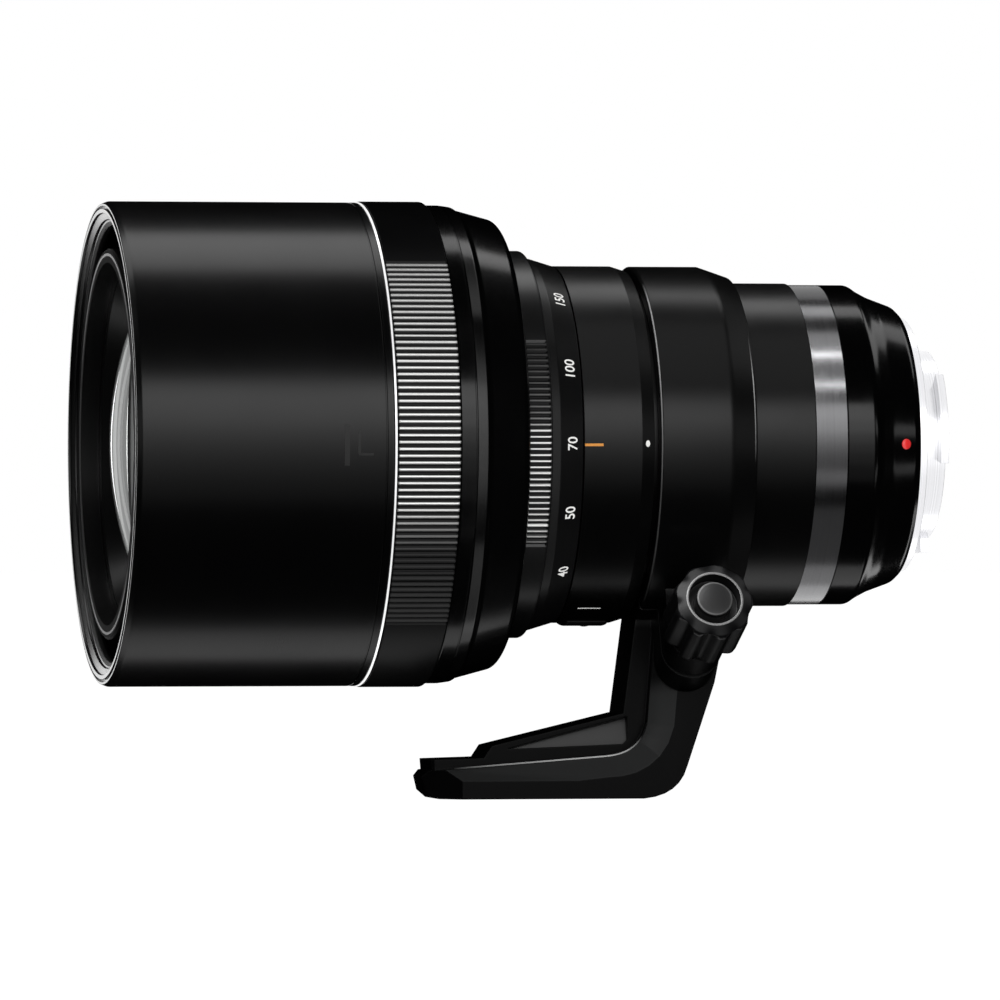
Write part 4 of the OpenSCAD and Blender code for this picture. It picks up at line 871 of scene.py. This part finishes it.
# Painted highlight on the lock ring's rib tops, by height in degrees: full round the middle, weaker above,
# almost none below.
lock_highlight = ((-47.5, 0.0), (-47, 0.04), (-36, 0.03), (-26, 0.015), (-20, 0.25), (-14, 1.0), (12, 1.0),
             (30, 0.7), (46.5, 0.5), (47, 0.0))
lock_piece = turned("lock_ring", lock_outline, lock_angles, lock_rib_depth * lock_cut[:, None] * on_lock)
mark(lock_piece, "bare_and_highlight", rib_tops(lock_cut, lock_height, lock_highlight)[:, None] * on_lock)
fit(lock_piece, ribbed, "hood_lock", "black_metal", "hood_lock_ring")


# Hood cone. The lacquered rear of the hood sweeps down to the barrel in a knee and a steep nose,
# and carries the bearing with a felt ring that keeps the hood where it is put.
cone_z0, cone_z1, band_r = extent("hood_cone")
bore_r, tail_r, felt_r = grip_r + 0.5, lip_r + 0.2, grip_r + 1.4
cone_room, seat_r = band_r - tail_r, sleeve_r + 0.05
knee_r, knee_z = tail_r + 0.7 * cone_room, cone_z0 + 1.9
nose = arc((cone_z0 + 0.3, tail_r + 0.45 * cone_room), (cone_z0 + 0.6, knee_r - 0.3), (knee_z, knee_r), 25)
cone_outline = rounded(
    [(cone_z0 + 4.6, bore_r, 0.2), (cone_z0 + 3.2, bore_r, 0.05), (cone_z0 + 3.2, felt_r, 0.05),
     (cone_z0 + 1.2, felt_r, 0.05), (cone_z0 + 1.2, bore_r, 0.05), (cone_z0, bore_r, 0.2),
     (cone_z0, tail_r, 0.2)]
    + [(*point, 0.0) for point in nose]
    + [(cone_z1 - 6.3, band_r - 0.85, 0.4), (cone_z1 - 5.6, band_r - 0.3, 0.3)]
    + groove(cone_z1 - 3.35, band_r)
    + [(cone_z1, band_r, 0.3), (cone_z1, seat_r, 0.1), (cone_z1 - 3.3, seat_r, 0.1),
       (cone_z1 - 3.3, sleeve_r - 1.4, 0.1), (knee_z + 4.6, knee_r - 1.2, 0.5),
       (cone_z0 + 4.6, bore_r + 3.4, 0.3)])
fit(turned("hood_nose", cone_outline), lacquer, "hood", "gloss_black", "hood_cone")
dress(coated("grey_felt", 0.02, 0.95, 0.25, 0.05), "hood_felt")


# Inside. Cells, cam and guide barrels, the iris, the focus motor and the board: anodised, blackened
# or bare metal, seen only through the glass or when the lens is opened.
inner_black = coated("inner_black", 0.009, 0.5, 0.15, 0.003)
dress(inner_black, "rear_cell", "guide_barrel", "iris_housing", "iris_cover", "iris_ring", "focus_cell",
      "cam_barrel", "variator_cell", "compensator_cell", *["iris_blade_%d" % i for i in range(1, 10)])
dress(steel, "focus_rods", "focus_magnets", "button_switch", "zoom_key")
dress(fine_metal("roller_brass", (0.70, 0.50, 0.20), 0.3, 0.2, 0.002),
      "variator_rollers", "compensator_rollers")
dress(fine_metal("coil_copper", (0.72, 0.32, 0.14), 0.4, 0.12, 0.01), "focus_coils")
dress(coated("board_green", (0.01, 0.06, 0.03), 0.4, 0.3, 0.004), "main_board")


# Studio. A white table that glows softly, under lights that mostly fall on chosen pieces, because
# black gloss shows every card and needs dark between them. Most stand round the lens axis, some
# behind the front glass; cards off both ends serve the sides that the photo doesn't show.
def softbox(name, centre, aim, size, radiance):
    """Area light of a given radiance: its power is pi times radiance times its area."""
    lamp = bpy.data.lights.new(name, "AREA")
    lamp.shape, lamp.size, lamp.size_y = "RECTANGLE", *size
    lamp.energy = np.pi * radiance * size[0] * size[1]
    stand = in_scene(name, lamp)
    centre, aim = np.array(centre), np.array(aim)
    back = (centre - aim) / np.linalg.norm(centre - aim)
    side = np.cross((0.0, 0.0, 1.0) if abs(back[2]) < 0.99 else (0.0, 1.0, 0.0), back)
    side /= np.linalg.norm(side)
    matrix = np.eye(4)
    matrix[:3, :3], matrix[:3, 3] = np.stack([side, np.cross(back, side), back], axis=-1), centre
    stand.matrix_world = Matrix(matrix.tolist())
    stand.visible_camera = False
    return stand


lens_middle = np.array((-0.08, 0.0, 0.0))


def ring_light(name, low, high, radiance, distance=1.2, length=1.15, shift=-0.05):
    """Softbox on a circle round the lens axis, between two elevations in degrees from the viewer's side."""
    middle, half = np.radians((low + high) / 2), np.radians((high - low) / 2)
    place = lens_middle + (shift, -distance * np.cos(middle), distance * np.sin(middle))
    size = (length, 2 * distance * np.tan(half))
    return softbox(name, place, lens_middle + (shift, 0, 0), size, radiance)


lit_groups = {}


def light_only(lamp, *pieces, state="INCLUDE"):
    """Lets a light fall on the named pieces alone, or on all but them. Lights for the same pieces share
    one group of them, because the renderer takes no more than 64 groups."""
    key = (state, *pieces)
    if key not in lit_groups:
        lit_groups[key] = bpy.data.collections.new("lit_%d" % len(lit_groups))
        for piece in pieces:
            lit_groups[key].objects.link(bpy.data.objects[piece])
        for member in lit_groups[key].collection_objects:
            member.light_linking.link_state = state
    lamp.light_linking.receiver_collection = lit_groups[key]


lenses, knob = ("front_glass", "second_glass"), ("lobed_knob", "domed_cap")
barrel_pieces = ("main_barrel", "zoom_sleeve", "collar_casting", *knob)
mount_pieces = ("mount_flange", "mount_screws", "contact_block", "contact_pins", "rear_baffle", "rear_glass")
# Prints, and the thin pieces that carry painted highlights on the collar, the foot and the filter ring.
prints_and_glints = ("index_line", "upright_dot", "button_dash", "alignment_dot", "collar_edge_front", "collar_edge_rear",
          "foot_edge_near", "filter_edge", *["focal_" + focal for focal in focal_angles])
overhead = {"distance": 1.0}
light_only(ring_light("overhead", 104, 117, 1.75, **overhead), "lock_ring", *lenses, state="EXCLUDE")
ring_light("under_edge", -122, -97, 0.7, **overhead)
for low, high, radiance in ((17, 29, 1.75), (8, 17, 1.4), (1, 8, 0.85), (-6, 1, 0.5), (-14, -6, 0.3),
                            (-26, -14, 0.15)):
    light_only(ring_light("fill_%d" % high, low, high, radiance), *lenses, state="EXCLUDE")
for name, pieces, placing, bands in (
        ("hood_overhead", ["hood_shell"], overhead, [(88, 104, 1.75)]),
        ("barrel_overhead", ["main_barrel", "zoom_sleeve"], overhead, [(117, 124, 1.75)]),
        ("barrel_fill", ["main_barrel", "collar_casting"], overhead, [(40, 86, 0.35)]),
        ("side_strip", ["hood_nose", "zoom_sleeve"], {"length": 0.16, "shift": 0.53},
         [(-105, -50, 0.7), (-45, 60, 1.4), (66, 118, 0.9)]),
        ("lip_card", ["zoom_sleeve"], {}, [(-54, 10, 1.0), (10, 62, 0.25)]),
        ("lock_card", ["lock_ring"], {}, [(-48, 0, 0.9), (0, 48, 0.9), (48, 95, 0.5)]),
        ("streak", ["bright_ring"], {},
         [(128, 165, 0.5), (72, 88, 1.1), (65.5, 68.5, 14.0), (47, 64, 0.55), (41.5, 44.5, 10.0), (29, 40, 0.3),
          (-30, -18, 0.45), (-100, -45, 0.15), (-155, -122, 1.3)]),
        ("cover_card", ["rear_cover"], {"distance": 1.0, "length": 1.2, "shift": 1.28},
         [(105, 132, 1.2), (9, 20, 0.9), (-30, -20, 0.7), (-145, -130, 1.5)]),
        ("flange_card", ["mount_flange", "hood_bright_ring"], {"length": 1.6, "shift": 0.1},
         [(-140, -50, 1.1), (-50, 50, 1.1), (50, 140, 1.1), (140, 220, 1.1)]),
        ("print_card", prints_and_glints, {"length": 1.6}, [(low, low + 65, 1.2) for low in (-130, -65, 0, 65)])):
    for low, high, radiance in bands:
        light_only(ring_light("%s_%d" % (name, high), low, high, radiance, **placing), *pieces)
for low, high, radiance, length, shift in ((40, 66, 5.0, 0.35, -0.1), (30, 80, 3.0, 0.7, -0.75),
                                           (72, 120, 1.6, 1.2, -0.1), (25, 75, 0.8, 0.6, 0.85)):
    light_only(ring_light("knob_card_%d" % high, low, high, radiance, 1.0, length, shift), *knob)
for x, width, radiance in ((-0.73, 0.09, 0.05), (-0.64, 0.08, 0.25), (-0.56, 0.08, 0.6), (-0.4, 0.25, 0.25),
                           (-0.15, 0.25, 3.0)):
    glass_strip = softbox("behind_glass_%d" % (-100 * x), (x, 1.2, 0.0), (x, 0.0, 0.0), (width, 2.4), radiance)
    light_only(glass_strip, "front_glass")
hood_mouth = (-0.16, 0.0, 0.0)
for name, place, size, radiance, pieces in (
        ("backdrop", (-0.68, 1.2, 0.0), (1.0, 0.7), 2.2, ["hood_shell"]),
        ("inner_backdrop", (-0.68, 1.2, 0.0), (1.0, 1.2), 0.08, ["filter_ring", "name_ring"]),
        ("edge_card", (-1.1, -0.25, 0.0), (0.8, 1.2), 3.0, ["filter_edge"])):
    light_only(softbox(name, place, hood_mouth, size, radiance), *pieces)
end_distance, end_ring, barrel_share = 0.85, 0.7, 0.25
for end, hood_share in ((1, 1.0), (-1, 0.4)):
    for angle, size, radiance in ((90, (0.9, 0.5), 1.6), (10, (0.5, 0.4), 1.0), (170, (0.5, 0.4), 1.0),
                                  (-90, (0.8, 0.4), 0.4)):
        turn = np.radians(angle)
        place = lens_middle + (end_distance * end, -end_ring * np.cos(turn), end_ring * np.sin(turn))
        for share, pieces in ((hood_share, ("hood_shell", "lock_ring")), (barrel_share, barrel_pieces)):
            name = "end_card_%d_%d_%s" % (end, angle, pieces[0])
            light_only(softbox(name, place, lens_middle, size, share * radiance), *pieces)
for aside in (-1.0, 0.0, 1.0):
    place = (1.3, 1.1 * aside + 0.15, 0.25 - 0.4 * abs(aside))
    light_only(softbox("mount_card_%d" % aside, place, (0.0, 0.0, 0.0), (0.8, 0.8), 1.1), *mount_pieces)

table_half, table_gap = 6000.0, 0.1
table_corners = np.array([(-1, -1), (1, -1), (1, 1), (-1, 1)]) * table_half
table_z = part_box("tripod_collar")[0][2] / mm - table_gap
table = mesh_piece("table", np.insert(table_corners, 2, table_z, axis=1), [(0, 1, 2, 3)])
table_white, place = new_finish("table_white")
table_shader = place.node("BsdfPrincipled", {}, {
    "Base Color": between(noise(place, 30.0, 2.0), shade(0.14), shade(0.16)),
    "Roughness": 1.0, "Specular IOR Level": 0.0, "Emission Color": (1, 1, 1, 1), "Emission Strength": 1.0})
underside = place.node("NewGeometry", out="Backfacing")
place.node("OutputMaterial", {}, {"Surface": place.node("MixShader", {}, {
    0: underside, 1: table_shader, 2: place.node("BsdfTransparent")})})
table.data.materials.append(table_white)
table.visible_glossy = table.visible_shadow = table.visible_diffuse = table.visible_transmission = False

world = bpy.data.worlds.new("studio")
scene = bpy.context.scene
scene.world = world
world.use_nodes = True
world.node_tree.nodes.clear()
air, room_light = Wire(world.node_tree), 0.12
seen = air.node("LightPath", out="Is Camera Ray")
air.node("OutputWorld", {}, {"Surface": air.node(
    "Background", {}, {"Color": (1, 1, 1, 1), "Strength": room_light + (1 - room_light) * seen})})
world.cycles_visibility.glossy = False

scene.view_settings.view_transform = "Standard"
camera_data = bpy.data.cameras.new("camera")
camera = in_scene("camera", camera_data)
turn, distance, target, view_angle = np.radians(-10.6), 2.008, np.array((-0.0818, 0.0, -0.0111)), 5.7
camera.location = target + distance * np.array((np.sin(turn), -np.cos(turn), 0.0))
camera.rotation_euler = (np.pi / 2, 0.0, turn)
camera_data.angle = np.radians(view_angle)
scene.camera = camera
